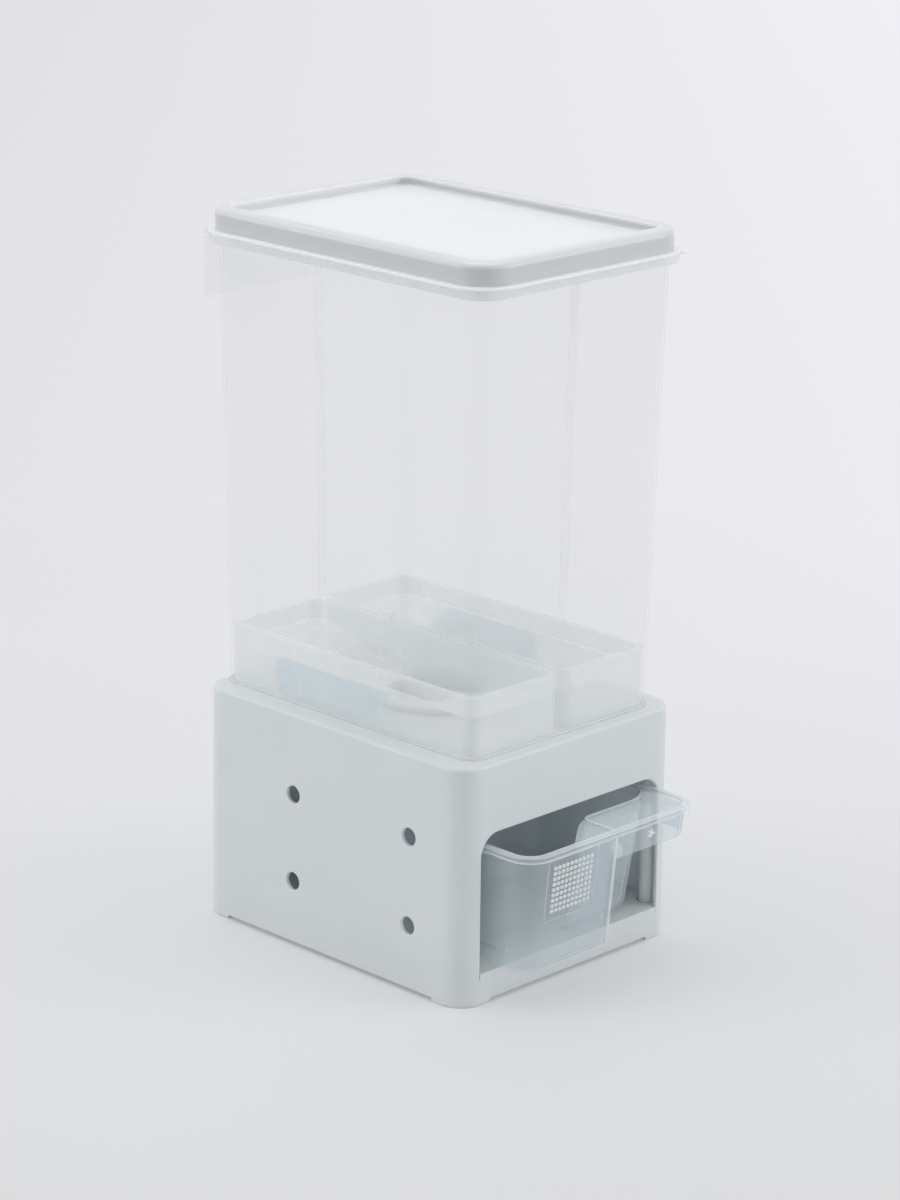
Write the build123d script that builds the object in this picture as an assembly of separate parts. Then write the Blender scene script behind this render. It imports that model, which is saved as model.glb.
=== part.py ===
"""A rice dispenser with a drawer: a clear tank with two hoppers on a white base.

Millimetres, +Z up. The drawer's face looks along -Y. The origin is the middle of the
base on the surface that it stands on. The drawer is drawn partly out, as in use.
"""

import os
from math import cos, radians, sin, sqrt

from build123d import *

# ---- base --------------------------------------------------------------------------
BASE_WIDTH = 200.0
BASE_DEPTH = 243.0
BASE_CORNER = 18.0
BASE_DRAFT = 0.75  # how far each side leans in at the top
BASE_TOP = 160.0
BASE_WALL = 2.5
BASE_EDGE = 3.0  # rounding of the top edge
SEAM_HEIGHT = 17.5
FOOT_HEIGHT = 3.0
FOOT_SPAN = 26.0
FOOT_EDGE = 1.5
PLATE_TOP = 21.5
PLATE_SKIN = 3.0
PLATE_GAP = 0.4  # between the plate's raised part and the cover's wall

# ---- drawer opening and side holes -------------------------------------------------
OPENING_MARGIN = 16.9  # white wall left on each side of the opening
OPENING_HEAD_ROOM = 7.2  # above the drawer's rim
OPENING_CORNER = 15.0
CUT_EDGE = 0.7  # rounding round the opening and the side holes
SIDE_HOLE_DIAMETER = 12.0
SIDE_HOLE_PITCH_Y = 106.0
SIDE_HOLE_PITCH_Z = 59.8
SIDE_HOLE_MIDDLE_Y = -19.8
SIDE_HOLE_MIDDLE_Z = 74.7

# ---- posts and screws --------------------------------------------------------------
POST_DIAMETER = 11.0
POST_INSET_X = 11.0
POST_INSET_Y = 13.5
POST_SINK = 10.5  # how far a post goes into the plate
SOCKET_WALL = 2.0
SOCKET_FLOOR = 3.0
SOCKET_GAP = 1.0
SCREW_SHANK = 3.3
SCREW_PILOT = 3.5
SCREW_HOLE = 3.7
SCREW_HEAD = 7.0
SCREW_HEAD_HEIGHT = 2.6
SCREW_LENGTH = 16.0
SCREW_SLOT_DEPTH = 1.2
SCREW_SLOT_WIDTH = 1.4
SCREW_SLOT_LENGTH = 4.9
SCREW_TIP_ROOM = 0.5  # left in front of a screw's tip

# ---- drawer ------------------------------------------------------------------------
DRAWER_OUT = 38.5  # how far it stands out from shut
DRAWER_TRAVEL = 96.0  # from shut to its stop
DRAWER_SIDE_GAP = 3.1  # between its rim and the opening
DRAWER_LENGTH = 147.0
DRAWER_RIM_HEIGHT = 106.5
DRAWER_RIM_THICK = 4.0
DRAWER_RIM_PROUD = 2.6
DRAWER_RIM_ROUND = 1.2
DRAWER_SIDE_LEAN = 4.4
DRAWER_FRONT_LEAN = 8.0
DRAWER_REAR_LEAN = 4.0
DRAWER_CORNER = 15.0
DRAWER_WALL = 2.0
DRAWER_FLOOR_ROUND = 6.0
DRAWER_CLEARANCE = 0.2
RUNNER_HEIGHT = 3.0
RUNNER_WIDTH = 3.0
RUNNER_X = 45.0
RAIL_THICK = 2.0
RAIL_GAP = 4.8  # above the drawer's rim, and above the side holes
RAIL_LAP = 3.0
STOP_RISE = 9.5  # how far a stop stands above the rim
STOP_DROP = 8.0
STOP_LENGTH = 8.0
STOP_THICK = 2.2
STOP_SLACK = 0.3

# grip pocket at the drawer's front right corner
POCKET_X = 2.0
POCKET_DEPTH = 28.4
POCKET_LEAN = 16.0  # how much further back its wall stands at the bottom
POCKET_CORNER = 6.0
POCKET_SHOULDER_TOP = 30.0  # corner radius of the drawer behind the pocket
POCKET_SHOULDER_BOTTOM = 20.0
DECK_SWEEP = 40.0  # how far the deck reaches left of the pocket, along the front
DECK_TURN = 1.5  # how far left of the pocket its slanting side meets its back
DECK_ROUND = 40.0
DECK_THICK = 1.8
DECK_DROP = 1.2  # below the top of the rim
SKIRT_HEIGHT = 19.0
SKIRT_REACH = 26.0  # how far it runs back along the right side

# dotted panel on the drawer's front
LABEL_WIDTH = 46.0
LABEL_HEIGHT = 42.0
LABEL_THICK = 0.5
LABEL_INSET = 21.0  # from the left end of the drawer's rim
LABEL_BELOW_RIM = 6.0
DOT_COLUMNS = 10
DOT_ROWS = 9
DOT_PITCH = 3.7
DOT_DIAMETER = 2.7
DOT_HEIGHT = 0.4

# scale marks on the drawer's left side
MARK_LENGTH = 8.0
MARK_HEIGHT = 1.2
MARK_PROUD = 0.5
MARK_FROM_CORNER = 14.0
MARKS_BELOW_RIM = (18.5, 26.5, 44.5, 62.5)

# ---- shutter plate behind the drawer -----------------------------------------------
SHUTTER_INSET = 20.0  # narrower than the drawer on each side
SHUTTER_THICK = 1.6
SHUTTER_CORNER = 6.0
SHUTTER_LAP = 9.0
SHUTTER_END_GAP = 0.5  # to the base's rear wall with the drawer shut
SHUTTER_RIB = 5.0
SHUTTER_RIB_INSET = 10.0
SHUTTER_APRON = 14.0
SHUTTER_SCREW_X = 40.0
SHUTTER_SCREW_DROP = 9.0
SHUTTER_SCREW_LENGTH = 8.5
BOSS_DIAMETER = 8.0
BOSS_DEPTH = 5.0  # inside the drawer's rear wall

# ---- tank --------------------------------------------------------------------------
TANK_SET_BACK = 2.5
TANK_SIDE_INSET = 16.0  # of its foot from the base's sides
TANK_END_INSET = 7.5
TANK_SIDE_LEAN = 4.0  # how far each side leans out at the top
TANK_END_LEAN = 6.5
TANK_HEIGHT = 301.5
TANK_CORNER = 12.0
TANK_WALL = 2.0
TANK_FLOOR = 2.5
TANK_SEAT_DEPTH = 1.5
TANK_RIM_PROUD = 6.2
TANK_RIM_HEIGHT = 6.2
TANK_RIM_ROUND = 1.0
FOOT_BEAD_HEIGHT = 3.4
FOOT_BEAD_PROUD = 1.2
FOOT_BEAD_ROUND = 0.8
SEAT_GAP = 0.5

# grip skirt at the rear of the tank
GRIP_INSET = 6.0  # narrower than the tank's top on each side
GRIP_REACH = 19.0
GRIP_DROP = 47.0
GRIP_WALL = 1.8
GRIP_CORNER = 8.0

# divider and its channels
DIVIDER_THICK = 2.0
DIVIDER_GAP = 0.4
DIVIDER_HEAD_ROOM = 1.0  # below the lid's plug ring
CHANNEL_RIB = 1.6
CHANNEL_DEPTH = 5.0
CHANNEL_PAD = 13.7
CHANNEL_PAD_THICK = 0.9
CHANNEL_LIFT = 1.0  # above the hopper rims

# ---- hoppers -----------------------------------------------------------------------
HOPPER_HEIGHT = 41.5  # of the rims above the tank's underside
HOPPER_RIM_WIDTH = 4.5
HOPPER_RIM_THICK = 2.0
HOPPER_WALL = 1.6
HOPPER_GAP = 0.4
HOPPER_CORNER = 10.0
HOPPER_SLOPE_DROP = 13.0  # from the rim to where the slopes start
HOPPER_MOUTH_LENGTH = 50.0
HOPPER_MOUTH_SETBACK = 4.0  # inside the outlet's bore
HOPPER_MOUTH_CORNER = 10.0
HOPPER_CLIP_RISE = 5.0
HOPPER_CLIP_LENGTH = 3.0
HOPPER_CLIP_PLACES = (-30.0, 44.0)

# ---- outlet, gates and spout -------------------------------------------------------
CHUTE_DIAMETER = 72.0
CHUTE_WALL = 2.0
CHUTE_LAP = 9.4  # of its flange over the tank's floor
CHUTE_FLANGE_THICK = 3.0
CHUTE_GAP = 0.6
GATE_THICK = 2.0
GATE_DROP = 6.5  # of a gate's top below the tank
GATE_GAP = 0.2
GATE_FRONT = 6.0  # in front of the frame
GATE_LIP_DROP = 12.0
GATE_INSET = 1.0  # from the middle wall
FRAME_HEIGHT = 14.5
FRAME_EDGE = 2.0  # round the screws' heads
SPOUT_MOUTH = 42.0
SPOUT_GAP = 1.4  # above the shutter plate
MOUTH_GAP = 4.0  # round the frame in the top of the base

# ---- flow guides and supports ------------------------------------------------------
GUIDE_RADIUS = 27.0
GUIDE_WALL = 2.2
GUIDE_X = 38.0
GUIDE_Y = 22.0
GUIDE_BELOW_RIM = 12.0
SUPPORT_FRONT = -13.0
SUPPORT_REAR = 71.0
SUPPORT_REACH = 22.0
SUPPORT_WALL = 2.0

# ---- lid ---------------------------------------------------------------------------
LID_SIDE_PROUD = 4.0  # wider than the tank's top on each side
LID_END_PROUD = 5.0
LID_CORNER = 22.0
LID_HEIGHT = 16.0
LID_EDGE = 4.0
LID_WALL = 2.0
LID_MARGIN = 11.0
LID_PANEL_DEPTH = 6.0
LID_PANEL_CORNER = 9.0
LID_FLANGE_PROUD = 4.4
LID_FLANGE_THICK = 1.8
LID_FLANGE_ROUND = 0.8
LID_PLUG_DEPTH = 8.0
LID_PLUG_WALL = 1.8
LID_PLUG_GAP = 0.5
LID_TAB_WIDTH = 16.0
LID_TAB_REACH = 4.5
LID_TAB_ROOT = 8.0

# ---- values worked out from the sizes above ----------------------------------------
OVER = 1.0  # how far a cutting block runs past what it cuts
HALF_WIDTH = BASE_WIDTH / 2
HALF_DEPTH = BASE_DEPTH / 2
UNDER_TOP = BASE_TOP - BASE_WALL - TANK_SEAT_DEPTH
OPENING_WIDTH = BASE_WIDTH - 2 * OPENING_MARGIN
OPENING_TOP = DRAWER_RIM_HEIGHT + OPENING_HEAD_ROOM
POST_FOOT = PLATE_TOP - POST_SINK
DRAWER_RIM_WIDTH = OPENING_WIDTH - 2 * DRAWER_SIDE_GAP
DRAWER_FRONT = -HALF_DEPTH - DRAWER_OUT  # outer face of the rim
DRAWER_REAR = DRAWER_FRONT + DRAWER_LENGTH
DRAWER_BOTTOM = PLATE_TOP + RUNNER_HEIGHT + DRAWER_CLEARANCE
DECK_TOP = DRAWER_RIM_HEIGHT - DECK_DROP
TANK_BOTTOM = BASE_TOP - TANK_SEAT_DEPTH
TANK_FLOOR_TOP = TANK_BOTTOM + TANK_FLOOR
TANK_TOP = TANK_BOTTOM + TANK_HEIGHT
HOPPER_RIM = TANK_BOTTOM + HOPPER_HEIGHT
HOPPER_SLOPE_TOP = HOPPER_RIM - HOPPER_SLOPE_DROP
CHUTE_RADIUS = CHUTE_DIAMETER / 2
CHUTE_BORE = CHUTE_RADIUS - CHUTE_WALL
CHUTE_FLANGE = CHUTE_DIAMETER + 2 * (CHUTE_GAP + CHUTE_LAP)
CHUTE_TOP = TANK_FLOOR_TOP + CHUTE_FLANGE_THICK
CHUTE_SCREW_RADIUS = (CHUTE_RADIUS + CHUTE_GAP + CHUTE_FLANGE / 2) / 2
GATE_TOP = TANK_BOTTOM - GATE_DROP
FRAME_BOTTOM = TANK_BOTTOM - FRAME_HEIGHT
FRAME_HALF = CHUTE_SCREW_RADIUS + SCREW_HEAD / 2 + FRAME_EDGE
SPOUT_END = DRAWER_RIM_HEIGHT + SHUTTER_THICK + SPOUT_GAP
DIVIDER_TOP = TANK_TOP - LID_PLUG_DEPTH - DIVIDER_HEAD_ROOM
HOPPER_SIDE = DIVIDER_THICK / 2 + HOPPER_GAP  # a hopper's face beside the divider
LID_TOP = TANK_TOP + LID_HEIGHT
TANK_REAR = TANK_SET_BACK + HALF_DEPTH - TANK_END_INSET + TANK_END_LEAN  # at its top
TO_MIDDLE = -(DRAWER_FRONT + TANK_REAR + GRIP_REACH) / 2  # puts the origin in the middle
SIDES = (("left", -1), ("right", 1))


def rounded(width, depth, corner, z, x=0.0, y=0.0):
    """A rounded rectangle that lies level at a height."""
    return Pos(x, y, z) * RectangleRounded(width, depth, corner)


def tapered(bottom, top, z_bottom, z_top, x=0.0, y=0.0):
    """A block between two rounded rectangles, each given as width, depth and corner."""
    return ruled(rounded(*bottom, z_bottom, x, y), rounded(*top, z_top, x, y))


def ruled(lower, upper):
    """A block with straight sides between two outlines."""
    return loft([lower, upper], ruled=True)


def box(x0, x1, y0, y1, z0, z1):
    """A plain block between two corners."""
    middle = Pos((x0 + x1) / 2, (y0 + y1) / 2, (z0 + z1) / 2)
    return middle * Box(abs(x1 - x0), abs(y1 - y0), abs(z1 - z0))


def post(x, y, z0, z1, diameter):
    """An upright cylinder between two heights."""
    return Pos(x, y, (z0 + z1) / 2) * Cylinder(diameter / 2, z1 - z0)


def pin(x, y0, y1, z, diameter):
    """A level cylinder that runs along Y."""
    return Pos(x, (y0 + y1) / 2, z) * Rot(90, 0, 0) * Cylinder(diameter / 2, y1 - y0)


def between(start, end, share):
    """The value a share of the way from start to end."""
    return start + (end - start) * share


def top_edges(shape):
    """The edges of a shape's highest level face."""
    return shape.faces().sort_by(Axis.Z)[-1].edges()


def bottom_edges(shape):
    """The edges of a shape's lowest level face."""
    return shape.faces().sort_by(Axis.Z)[0].edges()


def edges_inside(shape, low, high):
    """The edges of a shape whose middles lie between two corners."""
    found = []
    for edge in shape.edges():
        middle = edge.center(CenterOf.BOUNDING_BOX)
        if all(a <= value <= b for a, value, b in zip(low, middle, high)):
            found.append(edge)
    return found


def post_places():
    """Where the four posts of the base stand."""
    x = HALF_WIDTH - POST_INSET_X
    y = HALF_DEPTH - POST_INSET_Y
    return [(sx * x, sy * y) for sx in (-1, 1) for sy in (-1, 1)]


def base_size(z, inset=0.0):
    """Width, depth and corner of the base at a height, drawn in by an inset."""
    shrink = 2 * (BASE_DRAFT * z / BASE_TOP + inset)
    return BASE_WIDTH - shrink, BASE_DEPTH - shrink, BASE_CORNER - inset


def base_block(z0, z1, inset=0.0):
    """The base's solid form between two heights."""
    return tapered(base_size(z0, inset), base_size(z1, inset), z0, z1)


def tank_size(z, inset=0.0):
    """Width, depth and corner of the tank at a height, drawn in by an inset."""
    share = (z - TANK_BOTTOM) / TANK_HEIGHT
    width = BASE_WIDTH - 2 * (TANK_SIDE_INSET - TANK_SIDE_LEAN * share + inset)
    depth = BASE_DEPTH - 2 * (TANK_END_INSET - TANK_END_LEAN * share + inset)
    return width, depth, TANK_CORNER - inset


def tank_block(z0, z1, inset=0.0):
    """The tank's solid form between two heights."""
    return tapered(tank_size(z0, inset), tank_size(z1, inset), z0, z1, y=TANK_SET_BACK)


def screw(x, y, z_head, length):
    """A pan head screw that points up, with a cross slot in its head."""
    body = post(x, y, z_head, z_head + SCREW_HEAD_HEIGHT, SCREW_HEAD)
    body += post(x, y, z_head, z_head + length, SCREW_SHANK)
    long = SCREW_SLOT_LENGTH / 2
    short = SCREW_SLOT_WIDTH / 2
    z_slot = z_head + SCREW_SLOT_DEPTH
    for half_x, half_y in ((long, short), (short, long)):
        body -= box(x - half_x, x + half_x, y - half_y, y + half_y, z_head - OVER, z_slot)
    return body


def make_base_cover():
    """The white cover with its drawer opening, side holes, screw posts and drawer rails."""
    cover = base_block(SEAM_HEIGHT, BASE_TOP)
    cover = fillet(top_edges(cover), BASE_EDGE)
    cover -= base_block(SEAM_HEIGHT - OVER, UNDER_TOP, BASE_WALL)
    cover = cut_drawer_opening(cover)
    cover = cut_side_holes(cover)

    # seat for the tank's foot, and the mouth for the outlet below it
    seat = tank_size(TANK_BOTTOM, -FOOT_BEAD_PROUD - SEAT_GAP)
    cover -= tapered(seat, seat, TANK_BOTTOM, BASE_TOP + OVER, y=TANK_SET_BACK)
    side = FRAME_HALF + MOUTH_GAP
    cover -= box(-side, side, -side - GATE_FRONT, side, UNDER_TOP - OVER, BASE_TOP)

    for x, y in post_places():
        cover += post(x, y, POST_FOOT, UNDER_TOP, POST_DIAMETER)
        cover -= post(x, y, POST_FOOT - OVER, POST_FOOT + SCREW_LENGTH, SCREW_PILOT)

    # rails that keep the drawer from tipping
    rail_bottom = DRAWER_RIM_HEIGHT + RAIL_GAP
    wall = base_size(rail_bottom, BASE_WALL / 2)[0] / 2
    rail = DRAWER_RIM_WIDTH / 2 - RAIL_LAP
    run = HALF_DEPTH - POST_INSET_Y
    for _, side in SIDES:
        cover += box(side * rail, side * wall, -run, run, rail_bottom, rail_bottom + RAIL_THICK)
    return cover


def cut_drawer_opening(cover):
    """Cut the arch for the drawer through the front wall and round its outer edge."""
    sill = SEAM_HEIGHT - OPENING_CORNER - OVER
    face = RectangleRounded(OPENING_WIDTH, OPENING_TOP - sill, OPENING_CORNER)
    arch = Plane.XZ * Pos(0, (sill + OPENING_TOP) / 2) * face
    cover -= Pos(0, -HALF_DEPTH + 2 * BASE_WALL, 0) * extrude(arch, amount=4 * BASE_WALL)
    reach = OPENING_WIDTH / 2 + CUT_EDGE
    front = -HALF_DEPTH + BASE_WALL / 2
    low = (-reach, -HALF_DEPTH - OVER, SEAM_HEIGHT + OVER)
    return fillet(edges_inside(cover, low, (reach, front, OPENING_TOP + CUT_EDGE)), CUT_EDGE)


def cut_side_holes(cover):
    """Cut four round holes through each side wall and round their outer edges."""
    places = [
        (SIDE_HOLE_MIDDLE_Y + sy * SIDE_HOLE_PITCH_Y / 2, SIDE_HOLE_MIDDLE_Z + sz * SIDE_HOLE_PITCH_Z / 2)
        for sy in (-1, 1)
        for sz in (-1, 1)
    ]
    for y, z in places:
        cover -= Pos(0, y, z) * Rot(0, 90, 0) * Cylinder(SIDE_HOLE_DIAMETER / 2, BASE_WIDTH + OVER)
    edges = []
    reach = SIDE_HOLE_DIAMETER / 2
    for _, side in SIDES:
        x0, x1 = sorted((side * (HALF_WIDTH - BASE_WALL / 2), side * (HALF_WIDTH + OVER)))
        for y, z in places:
            edges += edges_inside(cover, (x0, y - reach, z - reach), (x1, y + reach, z + reach))
    return fillet(edges, CUT_EDGE)


def make_floor_plate():
    """The bottom plate with its lip, runners, post sockets and corner feet."""
    plug_inset = BASE_WALL + PLATE_GAP
    plate = base_block(FOOT_HEIGHT, SEAM_HEIGHT)
    plate += base_block(SEAM_HEIGHT, PLATE_TOP, plug_inset)

    # lip that fills the bottom of the drawer opening
    lip_half = OPENING_WIDTH / 2 - PLATE_GAP
    front_face = -base_size(SEAM_HEIGHT)[1] / 2
    plate += box(-lip_half, lip_half, front_face, front_face + 2 * plug_inset, SEAM_HEIGHT, PLATE_TOP)
    plate -= base_block(FOOT_HEIGHT - OVER, PLATE_TOP - PLATE_SKIN, plug_inset + BASE_WALL)
    plate += corner_feet()

    # runners that carry the drawer
    run = HALF_DEPTH - POST_INSET_Y
    half = RUNNER_WIDTH / 2
    for _, side in SIDES:
        x = side * RUNNER_X
        plate += box(x - half, x + half, -run, run, PLATE_TOP, PLATE_TOP + RUNNER_HEIGHT)

    # sockets for the cover's posts, open below for the screws
    bore = POST_DIAMETER + 2 * SOCKET_GAP
    shelf = POST_FOOT - SOCKET_FLOOR
    room = base_block(0, PLATE_TOP, plug_inset)
    for x, y in post_places():
        plate += post(x, y, shelf, PLATE_TOP, bore + 2 * SOCKET_WALL) & room
        plate -= post(x, y, POST_FOOT, PLATE_TOP + OVER, bore)
        plate -= post(x, y, -OVER, shelf, bore)
        plate -= post(x, y, 0, POST_FOOT + OVER, SCREW_HOLE)
    return plate


def corner_feet():
    """Four low feet that carry on the outer corners of the plate."""
    feet = base_block(0, FOOT_HEIGHT + BASE_WALL)
    high = FOOT_HEIGHT + BASE_WALL + OVER
    gap_x = HALF_WIDTH - FOOT_SPAN
    gap_y = HALF_DEPTH - FOOT_SPAN
    feet -= box(-gap_x, gap_x, -HALF_DEPTH, HALF_DEPTH, -OVER, high)
    feet -= box(-HALF_WIDTH, HALF_WIDTH, -gap_y, gap_y, -OVER, high)
    soles = [edge for edge in feet.edges() if edge.center().Z < FOOT_EDGE / 2]
    return fillet(soles, FOOT_EDGE)


def make_plate_screws():
    """Four screws from below into the posts."""
    z_head = POST_FOOT - SOCKET_FLOOR - SCREW_HEAD_HEIGHT
    return [screw(x, y, z_head, SCREW_LENGTH) for x, y in post_places()]


def drawer_share(z):
    """How far down from the rim a height lies: 0 at the rim, 1 at the bottom."""
    return (DRAWER_RIM_HEIGHT - z) / (DRAWER_RIM_HEIGHT - DRAWER_BOTTOM)


def drawer_size(z, inset=0.0):
    """Half width, front and rear of the drawer's outer wall at a height."""
    share = drawer_share(z)
    half = DRAWER_RIM_WIDTH / 2 - DRAWER_RIM_PROUD - DRAWER_SIDE_LEAN * share - inset
    front = DRAWER_FRONT + DRAWER_RIM_PROUD + DRAWER_FRONT_LEAN * share + inset
    rear = DRAWER_REAR - DRAWER_RIM_PROUD - DRAWER_REAR_LEAN * share - inset
    return half, front, rear


def drawer_outline(z, inset=0.0):
    """The drawer's plan at a height, drawn in by an inset."""
    half, front, rear = drawer_size(z, inset)
    return rounded(2 * half, rear - front, DRAWER_CORNER - inset, z, y=(front + rear) / 2)


def pocket_back(z, inset=0.0):
    """Where the wall behind the grip pocket stands at a height."""
    front_at_rim = drawer_size(DRAWER_RIM_HEIGHT)[1]
    return front_at_rim + POCKET_DEPTH + POCKET_LEAN * drawer_share(z) + inset


def pocket_outline(z, inset=0.0):
    """The plan of the grip pocket at a height, grown by an inset of the drawer."""
    left = POCKET_X - inset
    right = DRAWER_RIM_WIDTH
    back = pocket_back(z, inset)
    front = DRAWER_FRONT - DRAWER_CORNER
    middle = Pos((left + right) / 2, (front + back) / 2, z)
    return middle * RectangleRounded(right - left, back - front, POCKET_CORNER + inset)


def behind_pocket_outline(z, inset=0.0):
    """The plan of the drawer behind the grip pocket, with its wide front corner."""
    half, _, rear = drawer_size(z, inset)
    front = pocket_back(z, inset)
    corner = between(POCKET_SHOULDER_TOP, POCKET_SHOULDER_BOTTOM, drawer_share(z)) - inset
    return rounded(2 * half, rear - front, corner, z, y=(front + rear) / 2)


def drawer_bin(z0, z1, inset=0.0):
    """The drawer's solid form without the grip pocket, between two heights."""
    full = ruled(drawer_outline(z0, inset), drawer_outline(z1, inset))
    behind = ruled(behind_pocket_outline(z0, inset), behind_pocket_outline(z1, inset))
    pocket = ruled(pocket_outline(z0, inset), pocket_outline(z1, inset))
    middle = (POCKET_X + drawer_size(z0)[0]) / 2
    back = pocket_back(z0) + POCKET_SHOULDER_TOP
    corner = box(middle, DRAWER_RIM_WIDTH, DRAWER_FRONT - OVER, back, z0, z1)
    return full - pocket - (corner - behind)


def make_drawer():
    """The drawer: a tray with a rim bead, a grip pocket, its deck and its skirt."""
    top = DRAWER_RIM_HEIGHT
    body = fillet(bottom_edges(drawer_bin(DRAWER_BOTTOM, top)), DRAWER_FLOOR_ROUND)
    hollow = drawer_bin(DRAWER_BOTTOM + DRAWER_WALL, top + OVER, DRAWER_WALL)
    body -= fillet(bottom_edges(hollow), DRAWER_FLOOR_ROUND - DRAWER_WALL)
    deck_low = DECK_TOP - DECK_THICK
    body += deck_plan() & ruled(drawer_outline(deck_low), drawer_outline(DECK_TOP))
    body += make_rim()
    body += make_skirt()
    for mark in scale_marks() + stop_tabs():
        body += mark
    for x in (-SHUTTER_SCREW_X, SHUTTER_SCREW_X):
        body += boss_for_shutter(x)
        hole_end = DRAWER_REAR - SHUTTER_SCREW_LENGTH
        body -= pin(x, hole_end, DRAWER_REAR + OVER, shutter_screw_z(), SCREW_PILOT)
    return body


def deck_plan():
    """The deck's block: straight over the pocket, with a slanting side on the left."""
    half, front, _ = drawer_size(DRAWER_RIM_HEIGHT)
    back = pocket_back(DRAWER_RIM_HEIGHT) + DRAWER_WALL
    left = POCKET_X - DECK_SWEEP
    turn = POCKET_X - DECK_TURN
    shoulder = half - POCKET_SHOULDER_TOP
    right_back = back + POCKET_SHOULDER_TOP
    with BuildSketch(Plane.XY.offset(DECK_TOP - DECK_THICK)) as plan:
        with BuildLine():
            FilletPolyline((left, front), (turn, back), (shoulder, back), radius=DECK_ROUND)
            CenterArc((shoulder, right_back), POCKET_SHOULDER_TOP, 270, 90)
            Polyline((half, right_back), (half, front), (left, front))
        make_face()
    return extrude(plan.sketch, amount=DECK_THICK)


def make_rim():
    """The bead round the drawer's top."""
    top = DRAWER_RIM_HEIGHT
    low = top - DRAWER_RIM_THICK
    length = DRAWER_REAR - DRAWER_FRONT
    middle = (DRAWER_REAR + DRAWER_FRONT) / 2
    face = rounded(DRAWER_RIM_WIDTH, length, DRAWER_CORNER + DRAWER_RIM_PROUD, low, y=middle)
    rim = extrude(face, amount=DRAWER_RIM_THICK)
    rim = fillet(top_edges(rim), DRAWER_RIM_ROUND)
    inner_low = drawer_outline(low - OVER, DRAWER_WALL)
    return rim - ruled(inner_low, drawer_outline(top + OVER, DRAWER_WALL))


def make_skirt():
    """The skirt that hangs from the rim in front of and beside the pocket."""
    top = DRAWER_RIM_HEIGHT - DRAWER_RIM_THICK / 2
    low = top - SKIRT_HEIGHT
    outer = ruled(drawer_outline(low), drawer_outline(top))
    inner = ruled(drawer_outline(low, DRAWER_WALL), drawer_outline(top, DRAWER_WALL))
    front = drawer_size(top)[1]
    left = POCKET_X - DRAWER_WALL
    keep = box(left, DRAWER_RIM_WIDTH, front - DRAWER_CORNER, front + SKIRT_REACH, low, top)
    return (outer - inner) & keep


def scale_marks():
    """Short raised level marks on the drawer's left wall, near the front."""
    marks = []
    for drop in MARKS_BELOW_RIM:
        z = DRAWER_RIM_HEIGHT - drop
        half, front, _ = drawer_size(z)
        y = front + DRAWER_CORNER + MARK_FROM_CORNER
        x_wall = -half + DRAWER_WALL / 2
        marks.append(box(-half - MARK_PROUD, x_wall, y, y + MARK_LENGTH, z, z + MARK_HEIGHT))
    return marks


def stop_tabs():
    """Two upright tabs inside the side walls that meet the base's front wall when drawn out."""
    top = DRAWER_RIM_HEIGHT + STOP_RISE
    wall = base_size(top, BASE_WALL)[1] / 2
    front = -wall + (DRAWER_TRAVEL - DRAWER_OUT) + STOP_SLACK
    inner = drawer_size(DRAWER_RIM_HEIGHT, DRAWER_WALL)[0]
    root = inner + DRAWER_WALL / 4
    span = (front, front + STOP_LENGTH, DRAWER_RIM_HEIGHT - STOP_DROP, top)
    return [box(side * (root - STOP_THICK), side * root, *span) for _, side in SIDES]


def shutter_screw_z():
    """The height of the shutter plate's screws."""
    return DRAWER_RIM_HEIGHT - SHUTTER_SCREW_DROP


def boss_for_shutter(x):
    """A boss on the drawer's rear wall that takes a screw of the shutter plate."""
    wall = drawer_size(shutter_screw_z())[2]
    return pin(x, wall - DRAWER_WALL - BOSS_DEPTH, DRAWER_REAR, shutter_screw_z(), BOSS_DIAMETER)


def label_plane():
    """A plane on the drawer's leaning front, with its origin at the panel's top left."""
    z = DRAWER_RIM_HEIGHT - LABEL_BELOW_RIM
    across = Vector(1, 0, 0)
    up = Vector(0, -DRAWER_FRONT_LEAN, DRAWER_RIM_HEIGHT - DRAWER_BOTTOM).normalized()
    left = -DRAWER_RIM_WIDTH / 2 + LABEL_INSET
    return Plane(origin=(left, drawer_size(z)[1], z), x_dir=across, z_dir=across.cross(up))


def make_front_label():
    """A thin panel with a grid of raised dots, stuck on the drawer's front."""
    sheet = box(0, LABEL_WIDTH, -LABEL_HEIGHT, 0, 0, LABEL_THICK)
    first_x = (LABEL_WIDTH - (DOT_COLUMNS - 1) * DOT_PITCH) / 2
    first_y = (LABEL_HEIGHT - (DOT_ROWS - 1) * DOT_PITCH) / 2
    height = LABEL_THICK + DOT_HEIGHT
    dots = []
    for column in range(DOT_COLUMNS):
        for row in range(DOT_ROWS):
            place = Pos(first_x + column * DOT_PITCH, -first_y - row * DOT_PITCH, height / 2)
            dots.append(place * Cylinder(DOT_DIAMETER / 2, height))
    return label_plane() * (sheet + dots)


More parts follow.
